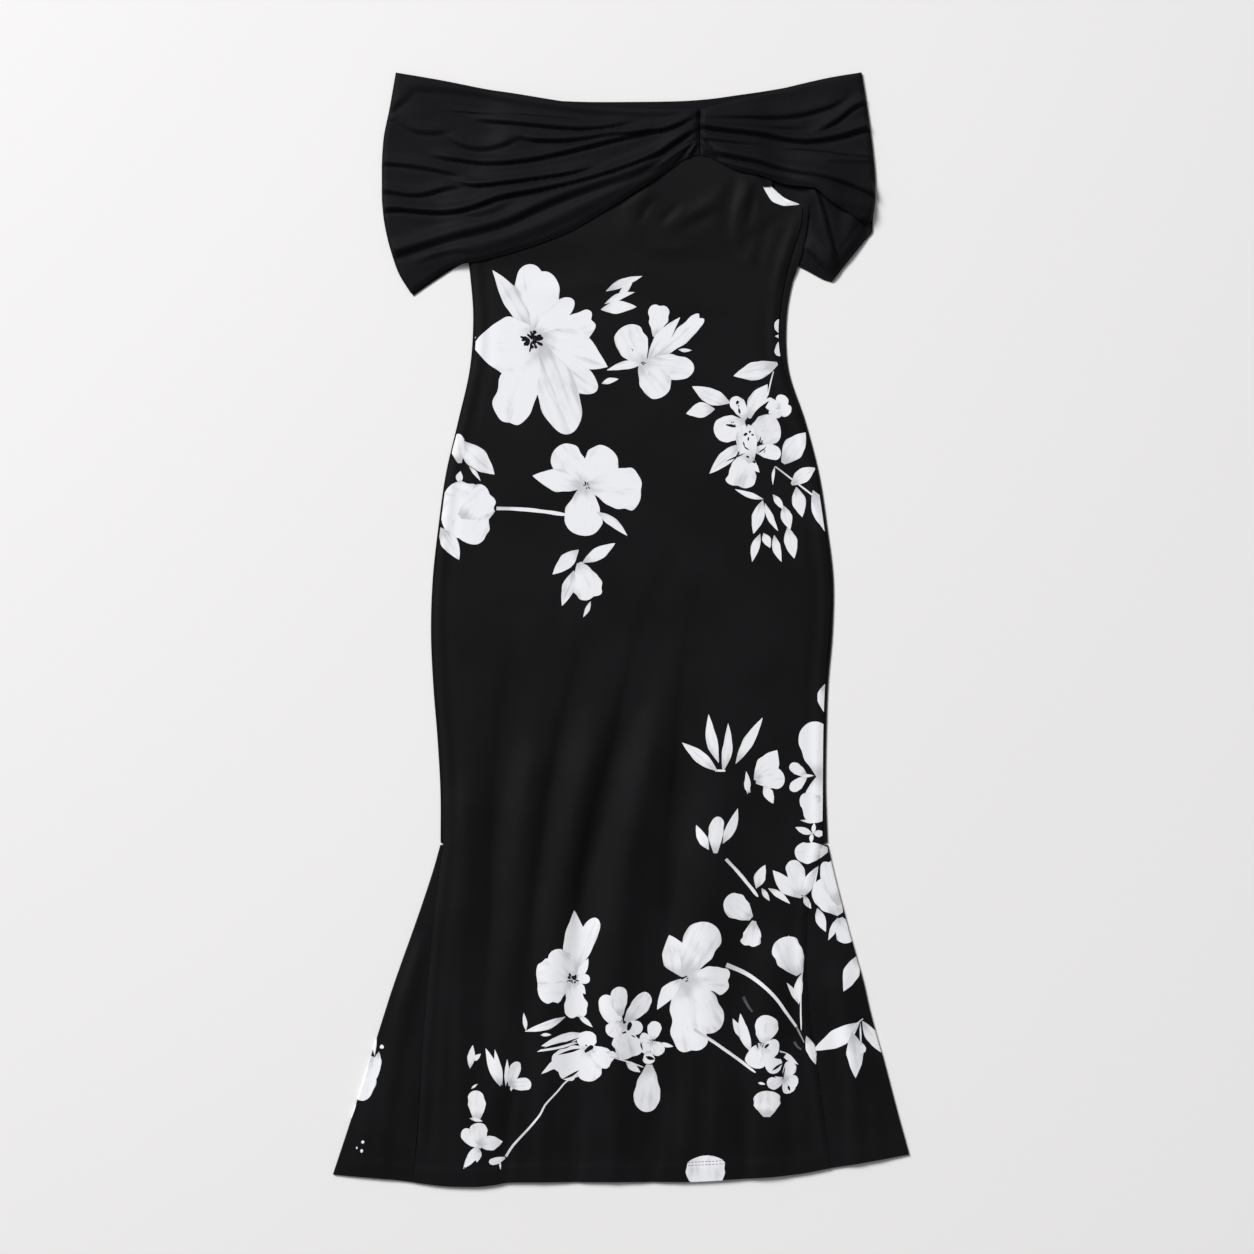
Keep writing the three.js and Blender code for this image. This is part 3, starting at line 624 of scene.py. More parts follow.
broad, fringed, pointed, leaf, stem, mark = map(rowOf, petalForms)
petalRows = {
    "bodice": [
        # big blossom on the bodice
        broad(308, 268, 300, 44, 96), broad(312, 262, 350, 66, 92), pointed(300, 250, 188, 62, 60),
        broad(308, 268, 430, 150, 60), fringed(308, 268, 497, 206, 84), broad(308, 268, 500, 318, 88),
        pointed(308, 268, 533, 352, 118), broad(308, 268, 500, 424, 84), broad(308, 268, 422, 552, 122),
        fringed(308, 268, 238, 528, 118), pointed(336, 270, 128, 290, 176),
        # brush leaves above
        leaf(528, 125, 637, 80, 26), leaf(560, 145, 610, 88, 20), leaf(524, 163, 614, 128, 20),
        leaf(513, 180, 620, 172, 38),
        # second blossom
        broad(636, 345, 586, 228, 98), fringed(674, 262, 690, 164, 60), pointed(655, 332, 750, 203, 42),
        fringed(680, 322, 818, 196, 48), broad(636, 342, 792, 358, 76), broad(634, 344, 706, 436, 90),
        leaf(640, 342, 530, 362, 26), leaf(515, 402, 566, 388, 18), leaf(745, 300, 785, 302, 12),
        # half flower at the right seam
        broad(1070, 262, 1042, 210, 34), leaf(1072, 264, 1034, 260, 16), broad(1072, 262, 1040, 318, 34),
        # leaves beside it
        pointed(1042, 342, 910, 379, 54), stem(1030, 365, 1012, 440, 4), leaf(900, 460, 786, 410, 50),
        leaf(854, 478, 768, 492, 46),
        # cluster at the right of the waist
        pointed(955, 505, 1012, 404, 54), broad(945, 510, 908, 442, 44), broad(950, 520, 852, 548, 78),
        broad(958, 560, 1046, 520, 92), leaf(935, 582, 838, 672, 42), fringed(950, 600, 922, 714, 88),
        broad(970, 598, 1052, 616, 46), leaf(950, 622, 988, 668, 26), broad(962, 640, 946, 524, 62),
        broad(1040, 476, 1064, 438, 40), broad(1034, 466, 1082, 488, 40), broad(1042, 462, 1034, 506, 38),
        broad(1050, 474, 1006, 454, 36), pointed(1058, 640, 1126, 548, 66),
        # branch below it
        stem(1035, 650, 1180, 762, 5), leaf(1034, 650, 1028, 706, 9), pointed(1084, 704, 1156, 654, 44),
        leaf(1098, 712, 1116, 802, 42), leaf(1148, 722, 1196, 858, 52), leaf(1000, 748, 914, 718, 18),
        leaf(998, 752, 970, 852, 38), leaf(1004, 760, 1044, 844, 20), leaf(990, 852, 966, 936, 26),
        leaf(1000, 850, 1020, 894, 26), leaf(1028, 734, 1060, 780, 20), leaf(1060, 768, 1080, 840, 34),
        leaf(1072, 832, 1092, 926, 40), leaf(1032, 856, 1054, 936, 26),
        # flowers at the left seam
        pointed(84, 575, 194, 674, 64), broad(90, 640, 84, 552, 44), leaf(118, 650, 152, 694, 12),
        broad(180, 785, 40, 740, 120), broad(190, 770, 38, 822, 128), broad(160, 770, 100, 874, 110),
        fringed(90, 800, 186, 730, 92), leaf(88, 700, 92, 664, 22), pointed(28, 835, 88, 930, 50),
        stem(200, 776, 415, 796, 11),
        # four-petalled blossom at the middle
        broad(466, 708, 388, 588, 100), broad(466, 708, 536, 594, 108), fringed(468, 708, 638, 722, 116),
        broad(468, 708, 464, 858, 110), pointed(455, 712, 308, 678, 66), leaf(500, 786, 592, 858, 28),
        # buds below it
        leaf(458, 938, 556, 880, 38), leaf(446, 900, 368, 974, 44), fringed(448, 938, 494, 1046, 82),
        leaf(432, 962, 396, 1068, 38), leaf(482, 1054, 460, 1102, 14),
        # petal cut by the armhole
        leaf(1106, -134, 990, -207, 63),
        # edge of one on the side seam
        leaf(78, 500, 74, 560, 12),
    ],
    "right": [
        # right seam, from the knee up
        leaf(744, 12, 740, 134, 66), leaf(308, 362, 168, 250, 50), leaf(314, 330, 274, 136, 44),
        leaf(330, 366, 352, 172, 40), leaf(382, 334, 490, 150, 44), stem(300, 362, 342, 362, 8),
        pointed(462, 402, 548, 280, 92), broad(462, 404, 578, 392, 84), leaf(494, 420, 532, 494, 40),
        leaf(430, 455, 424, 364, 24), leaf(440, 450, 416, 406, 20), broad(664, 384, 600, 336, 44),
        broad(664, 386, 600, 440, 44), leaf(640, 384, 694, 382, 14), broad(722, 388, 690, 166, 130),
        broad(720, 384, 688, 570, 112), broad(722, 470, 640, 500, 70), leaf(690, 614, 620, 588, 28),
        leaf(690, 612, 742, 612, 28), leaf(690, 612, 696, 570, 18), leaf(688, 612, 684, 652, 18),
        leaf(640, 560, 720, 566, 14), broad(750, 678, 618, 690, 84),
        # tulip bud and its stem
        leaf(274, 676, 224, 578, 40), broad(300, 690, 312, 544, 60), leaf(330, 652, 390, 512, 42),
        stem(342, 714, 472, 866, 13), leaf(464, 832, 500, 738, 46), leaf(486, 832, 518, 882, 22),
        leaf(512, 832, 600, 894, 28),
        # lily and the blossom on the right edge
        pointed(645, 868, 530, 760, 62), broad(645, 860, 606, 720, 72), leaf(650, 868, 712, 744, 48),
        leaf(655, 860, 684, 914, 26), broad(800, 935, 712, 800, 112), fringed(795, 900, 752, 716, 84),
        leaf(708, 912, 742, 1006, 42), broad(800, 950, 836, 1050, 78), leaf(790, 950, 752, 1040, 28),
        # petals in the middle of the spray
        broad(444, 952, 346, 864, 96), fringed(456, 962, 434, 1066, 74), broad(638, 1174, 556, 1034, 122),
        leaf(640, 1172, 592, 1020, 60), leaf(642, 1176, 634, 1296, 34), leaf(632, 1290, 586, 1208, 22),
        stem(652, 1110, 644, 1400, 6), leaf(866, 1104, 812, 1242, 66),
        # five-petalled blossom
        pointed(178, 1182, 116, 1018, 118), broad(184, 1178, 284, 970, 146),
        fringed(190, 1186, 362, 1200, 108), broad(176, 1190, 306, 1400, 138),
        fringed(160, 1196, 206, 1488, 142), leaf(164, 1192, 68, 1316, 56), stem(215, 1392, 462, 1566, 12),
        # leaves on the right godet
        leaf(876, 1368, 692, 1480, 76), leaf(846, 1404, 860, 1588, 70), leaf(888, 1362, 978, 1496, 50),
        leaf(880, 1366, 884, 1470, 8), broad(884, 1448, 888, 1490, 30), stem(838, 1392, 892, 1352, 4),
        leaf(664, 1422, 702, 1536, 40),
        # small blossoms above the right hem
        leaf(408, 1434, 370, 1350, 30), leaf(442, 1484, 400, 1330, 44), broad(492, 1450, 506, 1336, 92),
        broad(486, 1462, 554, 1478, 76), broad(482, 1450, 456, 1548, 90), broad(490, 1466, 548, 1566, 70),
        leaf(556, 1478, 632, 1536, 24), broad(576, 1592, 606, 1524, 52), broad(578, 1596, 632, 1608, 50),
        broad(578, 1592, 600, 1650, 54), broad(578, 1592, 506, 1612, 50), leaf(470, 1606, 500, 1612, 12),
        broad(505, 1742, 506, 1638, 108),
    ],
    "hem": [
        # blossom at the middle of the hem
        pointed(655, 430, 672, 98, 112), broad(680, 420, 782, 136, 92), fringed(668, 446, 482, 460, 210),
        broad(664, 440, 560, 300, 110), fringed(668, 446, 686, 640, 110), leaf(684, 440, 742, 338, 44),
        broad(680, 448, 750, 436, 50), leaf(684, 456, 728, 516, 36), leaf(690, 620, 764, 680, 26),
        leaf(628, 628, 424, 702, 42), leaf(432, 698, 420, 608, 22), leaf(504, 718, 558, 716, 18),
        # fan of petals below it
        leaf(722, 712, 508, 772, 62), leaf(690, 760, 486, 802, 34), leaf(660, 815, 508, 912, 44),
        fringed(748, 780, 580, 912, 150), broad(745, 790, 742, 952, 128),
        fringed(742, 782, 862, 856, 110), broad(742, 800, 730, 700, 96), leaf(830, 800, 902, 832, 26),
        # next blossom
        broad(912, 690, 814, 520, 96), broad(905, 620, 894, 476, 86), broad(928, 650, 1042, 512, 92),
        broad(925, 665, 1012, 696, 70), fringed(905, 660, 962, 834, 146), broad(905, 650, 840, 716, 80),
        # small ones beside the big blossom
        broad(1060, 745, 1078, 652, 70), broad(1060, 750, 1000, 724, 52), broad(1056, 760, 1010, 806, 60),
        broad(1060, 750, 1108, 818, 72), leaf(1100, 760, 1166, 778, 24), broad(1040, 800, 1048, 866, 60),
        broad(1046, 868, 1030, 1106, 128), leaf(928, 846, 1002, 906, 38), stem(850, 824, 1018, 882, 6),
        # twig with leaves at the left of the hem
        leaf(152, 886, 166, 770, 38), leaf(168, 850, 206, 814, 26), leaf(304, 974, 230, 786, 52),
        leaf(312, 970, 276, 790, 34), leaf(330, 974, 338, 838, 24), broad(352, 976, 392, 852, 60),
        broad(352, 976, 458, 962, 66), leaf(362, 976, 356, 1000, 14), leaf(158, 988, 190, 964, 12),
        broad(186, 1148, 180, 996, 88), leaf(150, 1135, 215, 1150, 20), broad(210, 1280, 116, 1192, 70),
        broad(205, 1270, 188, 1158, 90), pointed(200, 1270, 314, 1254, 76),
        leaf(196, 1270, 118, 1388, 50), leaf(200, 1290, 186, 1356, 36), broad(326, 1336, 246, 1358, 36),
        leaf(300, 1350, 304, 1394, 10),
        # petal cut by the hem
        broad(1334, 1520, 1340, 1322, 196),
    ],
    "godet": [
        # flower folded away at the left edge
        leaf(452, 5, 448, 255, 44), broad(425, 260, 300, 700, 230), leaf(260, 650, 205, 900, 70),
        leaf(492, 215, 470, 480, 96), broad(520, 140, 522, 182, 42), leaf(330, 1095, 334, 1130, 34),
        leaf(262, 1170, 282, 1172, 26), leaf(322, 1180, 318, 1222, 30),
    ],
}
# dark hearts of the blossoms: middle, reach, and how many marks each has
heartRows = {
    "bodice": [
        (307, 270, 31, 28), (470, 708, 12, 7), (640, 342, 10, 5), (606, 300, 8, 3), (955, 555, 16, 5),
        (924, 470, 8, 4), (908, 524, 10, 5), (990, 578, 10, 5), (1000, 603, 8, 4), (970, 628, 7, 3),
    ],
    "right": [(178, 1190, 16, 6), (488, 1456, 13, 5), (648, 863, 10, 4), (462, 404, 9, 3)],
    "hem": [(660, 442, 30, 12), (914, 651, 16, 6), (746, 779, 18, 6), (1060, 751, 12, 4)],
}
# dark gaps and blots that part the petals: root, tip and width in the dress's squares
gapRows = [
    # armhole, beside the binding's end
    leaf(765, 189, 757, 176, 5.4),
    # cluster at the right of the waist
    mark(726, 425, 736, 427, 2.8), leaf(745, 420, 747, 427.5, 2.6), mark(736.5, 404.5, 738, 401, 3.0),
    leaf(740, 414.5, 738.5, 408, 2.4), leaf(760.5, 436.5, 758, 446, 1.5),
    leaf(763.5, 440.5, 757, 447.5, 1.4), leaf(743, 441.5, 744.5, 448, 1.5),
    leaf(743.8, 446.5, 749.5, 450.5, 1.5), leaf(757.5, 453.5, 766.5, 446.5, 1.5),
    mark(746, 456.5, 749, 458, 2.2), mark(752.5, 461.5, 755.5, 463, 2.4), leaf(745, 453.5, 725, 462, 1.8),
    leaf(751, 419, 769, 401, 5.0),
    # small blossoms above the right hem
    leaf(758, 1048, 750.5, 1025, 3.2), leaf(786, 1053, 773.5, 1056.5, 6.5),
    leaf(771.5, 1069.5, 783, 1062, 2.8), leaf(776, 1076.5, 764, 1069, 2.8),
    leaf(785, 1065, 782.5, 1080, 1.6), mark(764.5, 1047, 768.5, 1042.5, 2.6),
    mark(789.5, 1090, 788, 1085, 2.2),
    # fan of petals
    leaf(580, 1036.5, 561, 1042.5, 1.5), leaf(575, 1040.5, 540, 1048, 3.4),
    leaf(581, 1047.5, 558, 1053.5, 2.8), mark(585, 1051, 593.5, 1044.5, 4.6),
    leaf(579.5, 1069, 562, 1078, 2.8),
    # next blossom
    mark(628, 1029, 630.5, 1020.5, 4.4), mark(622, 1031.5, 626.5, 1030.5, 2.0),
    leaf(631, 1033.5, 636, 1036.5, 1.3), leaf(640.5, 1041, 643, 1049.5, 1.8),
    leaf(645.5, 1055.5, 655, 1058.5, 4.0), leaf(651, 1038.5, 662, 1041, 1.8),
]
# How a petal's outline is divided, and how uneven it is
petalMake = {
    "step": 2.2, "fewest": 5, "most": 25, "crowding": 1.5, "closest": 0.05,
    "lean": 0.05, "stemLean": 0.6, "notch": (0.03, 0.08), "notchWidth": 0.16, "stemEnd": 0.55,
}
# Dark marks about a blossom's heart: turn from one to the next, and shares of the heart's reach
heartMake = {"turn": 2.4, "jitter": 0.4, "from": (0, 0.55), "length": (0.35, 0.75), "width": (0.18, 0.42)}


def motif(outline, base, along, across, ink):
    # a shape of the print, with the place and the directions that its map is measured from
    tone = draw.uniform(0, 1)
    return dict(outline=outline, base=base, along=along, across=across, ink=ink, tone=tone)


def petal(kind, root, tip, width, ink=1.0):
    # an uneven petal shape between its root and tip
    form = petalForms[kind]
    length = np.hypot(*(tip - root))
    along = (tip - root) / length
    across = np.array([-along[1], along[0]])
    steps = int(np.clip(length / petalMake["step"], petalMake["fewest"], petalMake["most"]))
    share = 1 - (1 - np.linspace(0, 1, steps + 1)) ** petalMake["crowding"]
    rising = form["root"] + (1 - form["root"]) * np.sin(np.pi / 2 * share / form["widest"])
    beyond = np.clip((share - form["widest"]) / (1 - form["widest"]), 0, 1)
    power, roundness = form["tip"]
    half = width / 2 * np.where(share < form["widest"], rising, (1 - beyond**power) ** roundness)
    lean = draw.uniform(-petalMake["lean"], petalMake["lean"])
    lean *= petalMake["stemLean"] if kind == "stem" else 1
    phases = [draw.uniform(0, 6.28) for _ in range(4)]
    notch = draw.uniform(*petalMake["notch"]) if kind == "fringed" else 0
    sides = []
    for sign, slow, quick in ((1, *phases[:2]), (-1, *phases[2:])):
        ripple = np.sin(5 * share + slow) + 0.7 * np.sin(15 * share + quick)
        ripple = 1 + form["wave"] * (ripple + 0.5 * np.sin(23 * share + 3 * slow))
        off = sign * half * ripple + lean * length * np.sin(np.pi * share)
        cut = notch * bell(off, width * petalMake["notchWidth"]) * share**6
        reach = share * length * (1 - cut)
        sides.append(root + np.outer(reach, along) + np.outer(off, across))
    outline = np.concatenate([sides[1], sides[0][::-1]])
    keep = np.hypot(*(outline - np.roll(outline, 1, axis=0)).T) > petalMake["closest"]
    return motif(outline[keep], root, along / length, across * 2 / width, ink)


def curvedStem(path, width, ink):
    # a thin stem along a curve, finer towards its end
    line = clothLine(path, pathStep["stem"])
    aside = asideOf(line) * (width / 2 * np.linspace(1, petalMake["stemEnd"], len(line))[:, None])
    whole = line[-1] - line[0]
    along, across = whole / (whole @ whole), np.array([-whole[1], whole[0]]) / (whole @ whole)
    return motif(np.concatenate([line - aside, (line + aside)[::-1]]), line[0], along, across, ink)


stemRows = [
    (5.0, 1, [(726, 964), (746, 973), (763, 985), (776, 998), (786, 1012), (796, 1026)]),
    (2.2, 0.35, [(796, 1026), (800, 1034), (804, 1042)]),
    (2.7, 1, [(506, 1156), (513, 1145), (531, 1125), (541, 1112), (545, 1104), (557, 1091), (567, 1080),
     (580, 1074)]),
    (3.6, 0.1, [(743, 996), (747, 1004), (752, 1011)]),
    (3.0, 0.12, [(794, 1041), (797, 1046), (801, 1049)]),
]
draw = random.Random(11)


def toScale(size, area):
    return size * wholeDress["square"] / area["squares"]


def petalsOf(rows, area, ink=1.0):
    found = []
    for kind, rootX, rootY, tipX, tipY, width in rows:
        root, tip = onCloth(area, rootX, rootY), onCloth(area, tipX, tipY)
        found.append(petal(kind, root, tip, toScale(width, area), ink))
    return found


def heartMarks(middle, reach, marks):
    # small dark strokes about a blossom's middle, each turned away from the last
    found = []
    for number in range(marks):
        angle = number * heartMake["turn"] + draw.uniform(-heartMake["jitter"], heartMake["jitter"])
        out = np.array([math.cos(angle), math.sin(angle)])
        start = middle + out * reach * draw.uniform(*heartMake["from"])
        end = start + out * reach * draw.uniform(*heartMake["length"])
        width = reach * draw.uniform(*heartMake["width"])
        found.append(petal("mark", start, end, width, 0))
    return found


petals = []
for areaName, rows in petalRows.items():
    petals += petalsOf(rows, printAreas[areaName])
for areaName, rows in heartRows.items():
    area = printAreas[areaName]
    for x, y, reach, marks in rows:
        petals += heartMarks(onCloth(area, x, y), toScale(reach, area), marks)
petals += petalsOf(gapRows, wholeDress, ink=0)
petals += [curvedStem(path, width, ink) for width, ink, path in stemRows]
print(f"{len(petals)} petals, leaves and marks drawn")


# Creases and folds, as each function above reads them
frontCreases = [
    # bodice, up under the drape
    (-2.5, 5, 8, [(744, 164), (737, 182), (731, 204), (728, 224), (726, 248)]),
    (1.1, 7, 8, [(724, 178), (716, 200), (702, 224)]), (1.2, 4, 5, [(756, 174), (748, 192), (741, 212)]),
    (-1.9, 4, 4, [(754, 190), (751, 210), (746, 232)]),
    (-1.9, 6, 7, [(672, 233), (698, 222), (724, 208)]), (1.0, 7, 8, [(684, 220), (700, 209), (716, 192)]),
    (-1.9, 4, 4, [(656, 228), (670, 214), (684, 200)]),
    (-1.6, 4, 4, [(634, 230), (645, 212), (656, 196)]), (1.4, 7, 7, [(618, 218), (638, 200), (662, 190)]),
    (-1.9, 5, 5, [(766, 226), (785, 217), (806, 211)]),
    (-1.7, 6, 6, [(716, 242), (740, 253), (756, 230)]),
    (-1.7, 5, 5, [(771, 214), (763, 240), (757, 276)]), (1.3, 8, 8, [(640, 244), (672, 250), (704, 246)]),
    (1.2, 8, 9, [(795, 210), (790, 236), (779, 268), (768, 300), (764, 332)]),
    (0.8, 12, 12, [(484, 284), (548, 291), (621, 280), (703, 266)]),
    (-0.8, 9, 9, [(757, 329), (708, 318), (657, 324)]),
    # hips
    (-0.8, 12, 12, [(690, 513), (668, 573), (646, 636)]),
    (0.7, 14, 14, [(466, 566), (539, 593), (603, 582)]),
    (-0.7, 11, 11, [(594, 529), (566, 593), (548, 666)]),
    # skirt, falling to the hem over its own loft
    (2.4, 110, 110, [(606, 620), (598, 760), (592, 900), (600, 1040), (606, 1170)]),
    (-3.0, 22, 9, [(662, 560), (646, 628), (618, 740), (592, 834), (582, 900), (580, 1010)]),
    (-2.6, 20, 8, [(598, 600), (576, 680), (556, 762), (542, 850), (536, 905), (524, 1020)]),
    (-2.6, 20, 9, [(520, 620), (508, 690), (500, 780), (495, 856), (492, 930), (484, 1060)]),
    (-2.8, 22, 9, [(706, 560), (694, 636), (682, 740), (673, 834), (660, 960)]),
    (0.9, 14, 12, [(680, 600), (668, 664), (648, 770), (626, 866), (612, 990)]),
    (0.9, 13, 11, [(618, 640), (606, 700), (582, 800), (563, 884), (554, 1000)]),
    (0.8, 13, 11, [(546, 650), (537, 710), (524, 805), (516, 902), (504, 1030)]),
    (0.9, 14, 14, [(478, 660), (472, 740), (466, 850), (460, 1000)]),
    (-1.3, 9, 7, [(616, 770), (594, 848), (574, 930)]),
    (-1.3, 9, 7, [(680, 820), (672, 888), (665, 960)]),
    (-3.2, 7, 12, [(520, 1050), (513, 1090), (508, 1130), (505, 1210)]),
    (-2.8, 6, 11, [(582, 1085), (580, 1115), (577, 1145), (575, 1210)]),
    (-2.8, 7, 11, [(662, 1075), (660, 1110), (655, 1150), (650, 1210)]),
    (-2.6, 8, 12, [(706, 1030), (706, 1080), (705, 1120), (704, 1180)]),
    (-2.2, 7, 10, [(739, 1050), (744, 1100), (748, 1210)]),
    (-2.0, 8, 10, [(459, 900), (452, 1000), (450, 1110), (452, 1210)]),
    (-1.3, 9, 9, [(790, 1011), (788, 1084), (794, 1210)]),
    (1.6, 9, 9, [(548, 1057), (543, 1120), (541, 1210)]),
    (1.6, 9, 9, [(618, 1075), (616, 1130), (612, 1210)]),
    (1.6, 9, 9, [(685, 1038), (685, 1111), (681, 1210)]),
    (1.2, 8, 8, [(482, 1060), (478, 1130), (477, 1210)]),
]
leftDrapeFolds = [
    (1.6, 7, 6, [(350, 130), (376, 124), (388, 116), (398, 109), (411, 98), (420, 88)]),
    (1.4, 9, 7, [(400, 92), (430, 93), (470, 97), (520, 107), (580, 115), (640, 118), (730, 114)]),
    (1.6, 4, 3, [(350, 121), (370, 121), (386, 122), (402, 121)]),
    (2.0, 10, 5, [(390, 124), (402, 127), (412, 133), (428, 136), (448, 134), (460, 130)]),
    (2.6, 9, 5, [(436, 132), (446, 139), (458, 147), (470, 151), (486, 152), (502, 149), (519, 142),
     (532, 136)]),
    (3.6, 6, 3.6, [(468, 121), (480, 123), (500, 125), (540, 129), (580, 132), (610, 130), (640, 124)]),
    (0.9, 2.5, 1.5, [(436, 111), (480, 115), (520, 117), (560, 120), (600, 125)]),
    (4.0, 5.5, 4, [(508, 138), (530, 143), (560, 144), (585, 142), (610, 138), (640, 136), (664, 133),
     (680, 127.5), (692, 121), (704, 115)]),
    (3.8, 5.5, 4, [(424, 156), (440, 160), (460, 163), (482, 166), (505, 166), (530, 163), (560, 157),
     (585, 151), (612, 144), (638, 138), (660, 130)]),
    (3.0, 6, 4, [(336, 165), (366, 165), (392, 167), (412, 169), (436, 173), (472, 181)]),
    (4.0, 6, 3.5, [(446, 180), (458, 184), (470, 188), (486, 188), (510, 185), (540, 181), (566, 177),
     (604, 168)]),
    (3.2, 6, 4.5, [(336, 191), (366, 192), (390, 195), (408, 198), (426, 197), (444, 192), (474, 188)]),
    (4.8, 7, 4, [(336, 218), (366, 216), (395, 212), (420, 214), (450, 215), (472, 211), (500, 201),
     (540, 193), (580, 184), (620, 172), (644, 163), (660, 156), (672, 148), (684, 140), (694, 134),
     (706, 129)]),
    (1.8, 5, 6, [(450, 212), (464, 216), (478, 219), (494, 215), (520, 204)]),
    (4.6, 8, 8, [(340, 276), (374, 266), (400, 257), (420, 251), (450, 242), (480, 235), (510, 226),
     (540, 212), (570, 200), (600, 190), (630, 180), (652, 170), (672, 161)]),
    (1.6, 5, 5, [(410, 268), (428, 261), (442, 257), (458, 254), (484, 257)]),
]
leftDrapeCreases = [
    (3.2, 8, 8, [(380, 290), (396, 280), (432, 258), (470, 249), (510, 238), (550, 222), (590, 203),
     (630, 182), (660, 166), (690, 148), (720, 130)]),
    (2.2, 2.4, 2.4, [(640, 178), (660, 167), (670, 159), (680, 151.5), (689, 146), (712, 136)]),
    (-1.6, 1.6, 1.6, [(654, 162), (672, 153.5), (682, 148.5), (690, 144), (712, 135)]),
    (-2.2, 2.2, 2.2, [(668, 172), (681, 160), (687, 152), (693, 146), (712, 137)]),
    (1.6, 1.6, 1.8, [(682, 172), (688, 158), (691, 151), (696, 145), (710, 137)]),
    (-2.2, 2.4, 2.4, [(688, 174), (694, 157), (698, 149), (708, 137)]),
    (0.8, 9, 9, [(388, 98), (398, 92), (412, 84), (436, 86)]),
    (0.9, 8, 8, [(396, 122), (406, 116), (420, 114), (436, 122)]),
    (-0.7, 5, 5, [(394, 220), (412, 225), (440, 226), (466, 222)]),
]
rightDrapeFolds = [
    (3.0, 10, 4.5, [(680, 121), (705, 121), (725, 121.5), (750, 121), (775, 120.5), (800, 118),
     (820, 113), (838, 106), (854, 95)]),
    (2.4, 4, 4, [(684, 124), (712, 125.5), (730, 127.5), (750, 129), (775, 130.5), (812, 132)]),
    (4.8, 6, 5, [(664, 126), (698, 130), (720, 133), (745, 136), (765, 138.5), (785, 142.5), (802, 144.5),
     (822, 143), (842, 139), (862, 133), (915, 124)]),
    (3.4, 7, 4, [(806, 139), (818, 134), (830, 128), (842, 120), (853, 111), (866, 105), (915, 98)]),
    (2.0, 3.5, 3, [(684, 141), (704, 142), (720, 143.5), (740, 146), (765, 149)]),
    (5.2, 8, 5, [(698, 151), (712, 156), (735, 161), (755, 165), (775, 171), (795, 176), (820, 180),
     (845, 187), (862, 194), (915, 215)]),
    (1.4, 4, 2, [(774, 150), (796, 151), (820, 153), (850, 157), (915, 162)]),
    (1.3, 5, 5, [(800, 162), (820, 164), (845, 165), (915, 163)]),
]
rightDrapeCreases = [
    (2.2, 4, 4, [(690, 156), (708, 160), (740, 167), (770, 175), (800, 179), (850, 193)]),
    (2.4, 7, 7, [(790, 180), (812, 187), (836, 197), (862, 207), (910, 226)]),
    (1.8, 2, 2, [(680, 132), (698, 141), (706, 147), (712, 156), (716, 168)]),
    (-1.6, 1.6, 1.6, [(680, 130), (698, 139), (710, 147), (718, 158), (724, 170)]),
    (1.0, 2, 2, [(680, 130), (698, 134), (706, 135), (722, 139)]),
    (0.9, 9, 9, [(800, 102), (812, 96), (836, 88), (868, 84)]),
    (0.8, 7, 7, [(806, 126), (820, 120), (832, 114), (842, 106)]),
]
backDrapeCreases = [
    (4.6, 34, 30, [(806, 150), (820, 196), (832, 228), (842, 272)]),
    (-4.0, 4, 4, [(812, 190), (811, 210), (808, 228), (803, 246), (798, 264)]),
    (2.0, 5, 6, [(806, 184), (812, 200), (817, 220), (823, 240), (830, 262)]),
    (1.6, 8, 8, [(846, 186), (853, 212), (850, 238), (844, 268)]),
    (-0.9, 1.3, 1.3, [(872, 208), (857, 229), (849, 240), (841, 251), (826, 271)]),
    (0.8, 3, 3, [(872, 216), (860, 232), (852, 243), (844, 253), (830, 270)]),
    (-2.4, 3, 3, [(860, 204), (865, 222), (868, 244)]),
]
backDrapeFolds = [
    (4.6, 9, 4.4, [(842, 276), (836, 256), (832, 240), (828, 224), (823, 207), (817, 190), (808, 168)]),
    (4.0, 12, 2.8, [(790, 236), (803, 249), (812, 257), (821, 267), (829, 279), (837, 292)]),
]
backPanelCreases = [
    (1.2, 3.5, 3.5, [(806, 208), (804, 226), (799, 246), (793, 268), (786, 290), (780, 330)]),
]
godetCreases = {
    "left": [
        (-1.6, 8, 10, [(426, 929), (412, 1011), (400, 1089), (397, 1210)]),
        (-1.4, 8, 9, [(400, 1060), (394, 1102), (390, 1210)]),
        (-1.2, 8, 8, [(468, 1072), (439, 1111), (416, 1138)]),
        (1.0, 9, 9, [(383, 1057), (368, 1120), (359, 1210)]),
        (0.8, 8, 8, [(423, 1011), (416, 1084), (410, 1210)]),
    ],
    "right": [
        (-1.5, 8, 10, [(823, 929), (832, 1011), (842, 1084), (845, 1210)]),
        (-1.3, 8, 8, [(848, 1011), (859, 1084), (870, 1210)]),
        (1.0, 9, 9, [(837, 957), (850, 1038), (857, 1210)]),
        (0.8, 8, 8, [(859, 1057), (876, 1120), (885, 1210)]),
    ],
}
seamX = 86.5  # where both halves of the drape are gathered into one seam
hemZone = -540  # the hem's outline lies below this
hemForm = {"beside": 0.8, "step": 2.4, "from": 0.8, "groove": 0.3, "grooveAt": 0.4, "grooveReach": 1.1}
hemSpans = {"front": (-240, 240), "godet": (-400, 400)}
foldCuts = (-0.2, 0.4, 1)  # a leaning fold's foot, steep side and crest, in shares of its foot's reach
fromBorder = 3  # least distance of such a cut from the border
# A laid tube's side: height, distance from the edge and reach of its ridge, hollow and rounding
sideForm = ((0.9, 6, 4), (-0.5, 16, 5), (-0.9, 0, 2))
sideEnds = {"at": -590, "over": 40, "step": 8}
backPrint = {"mirrorAbout": 22, "halfWidth": 172, "above": -575}


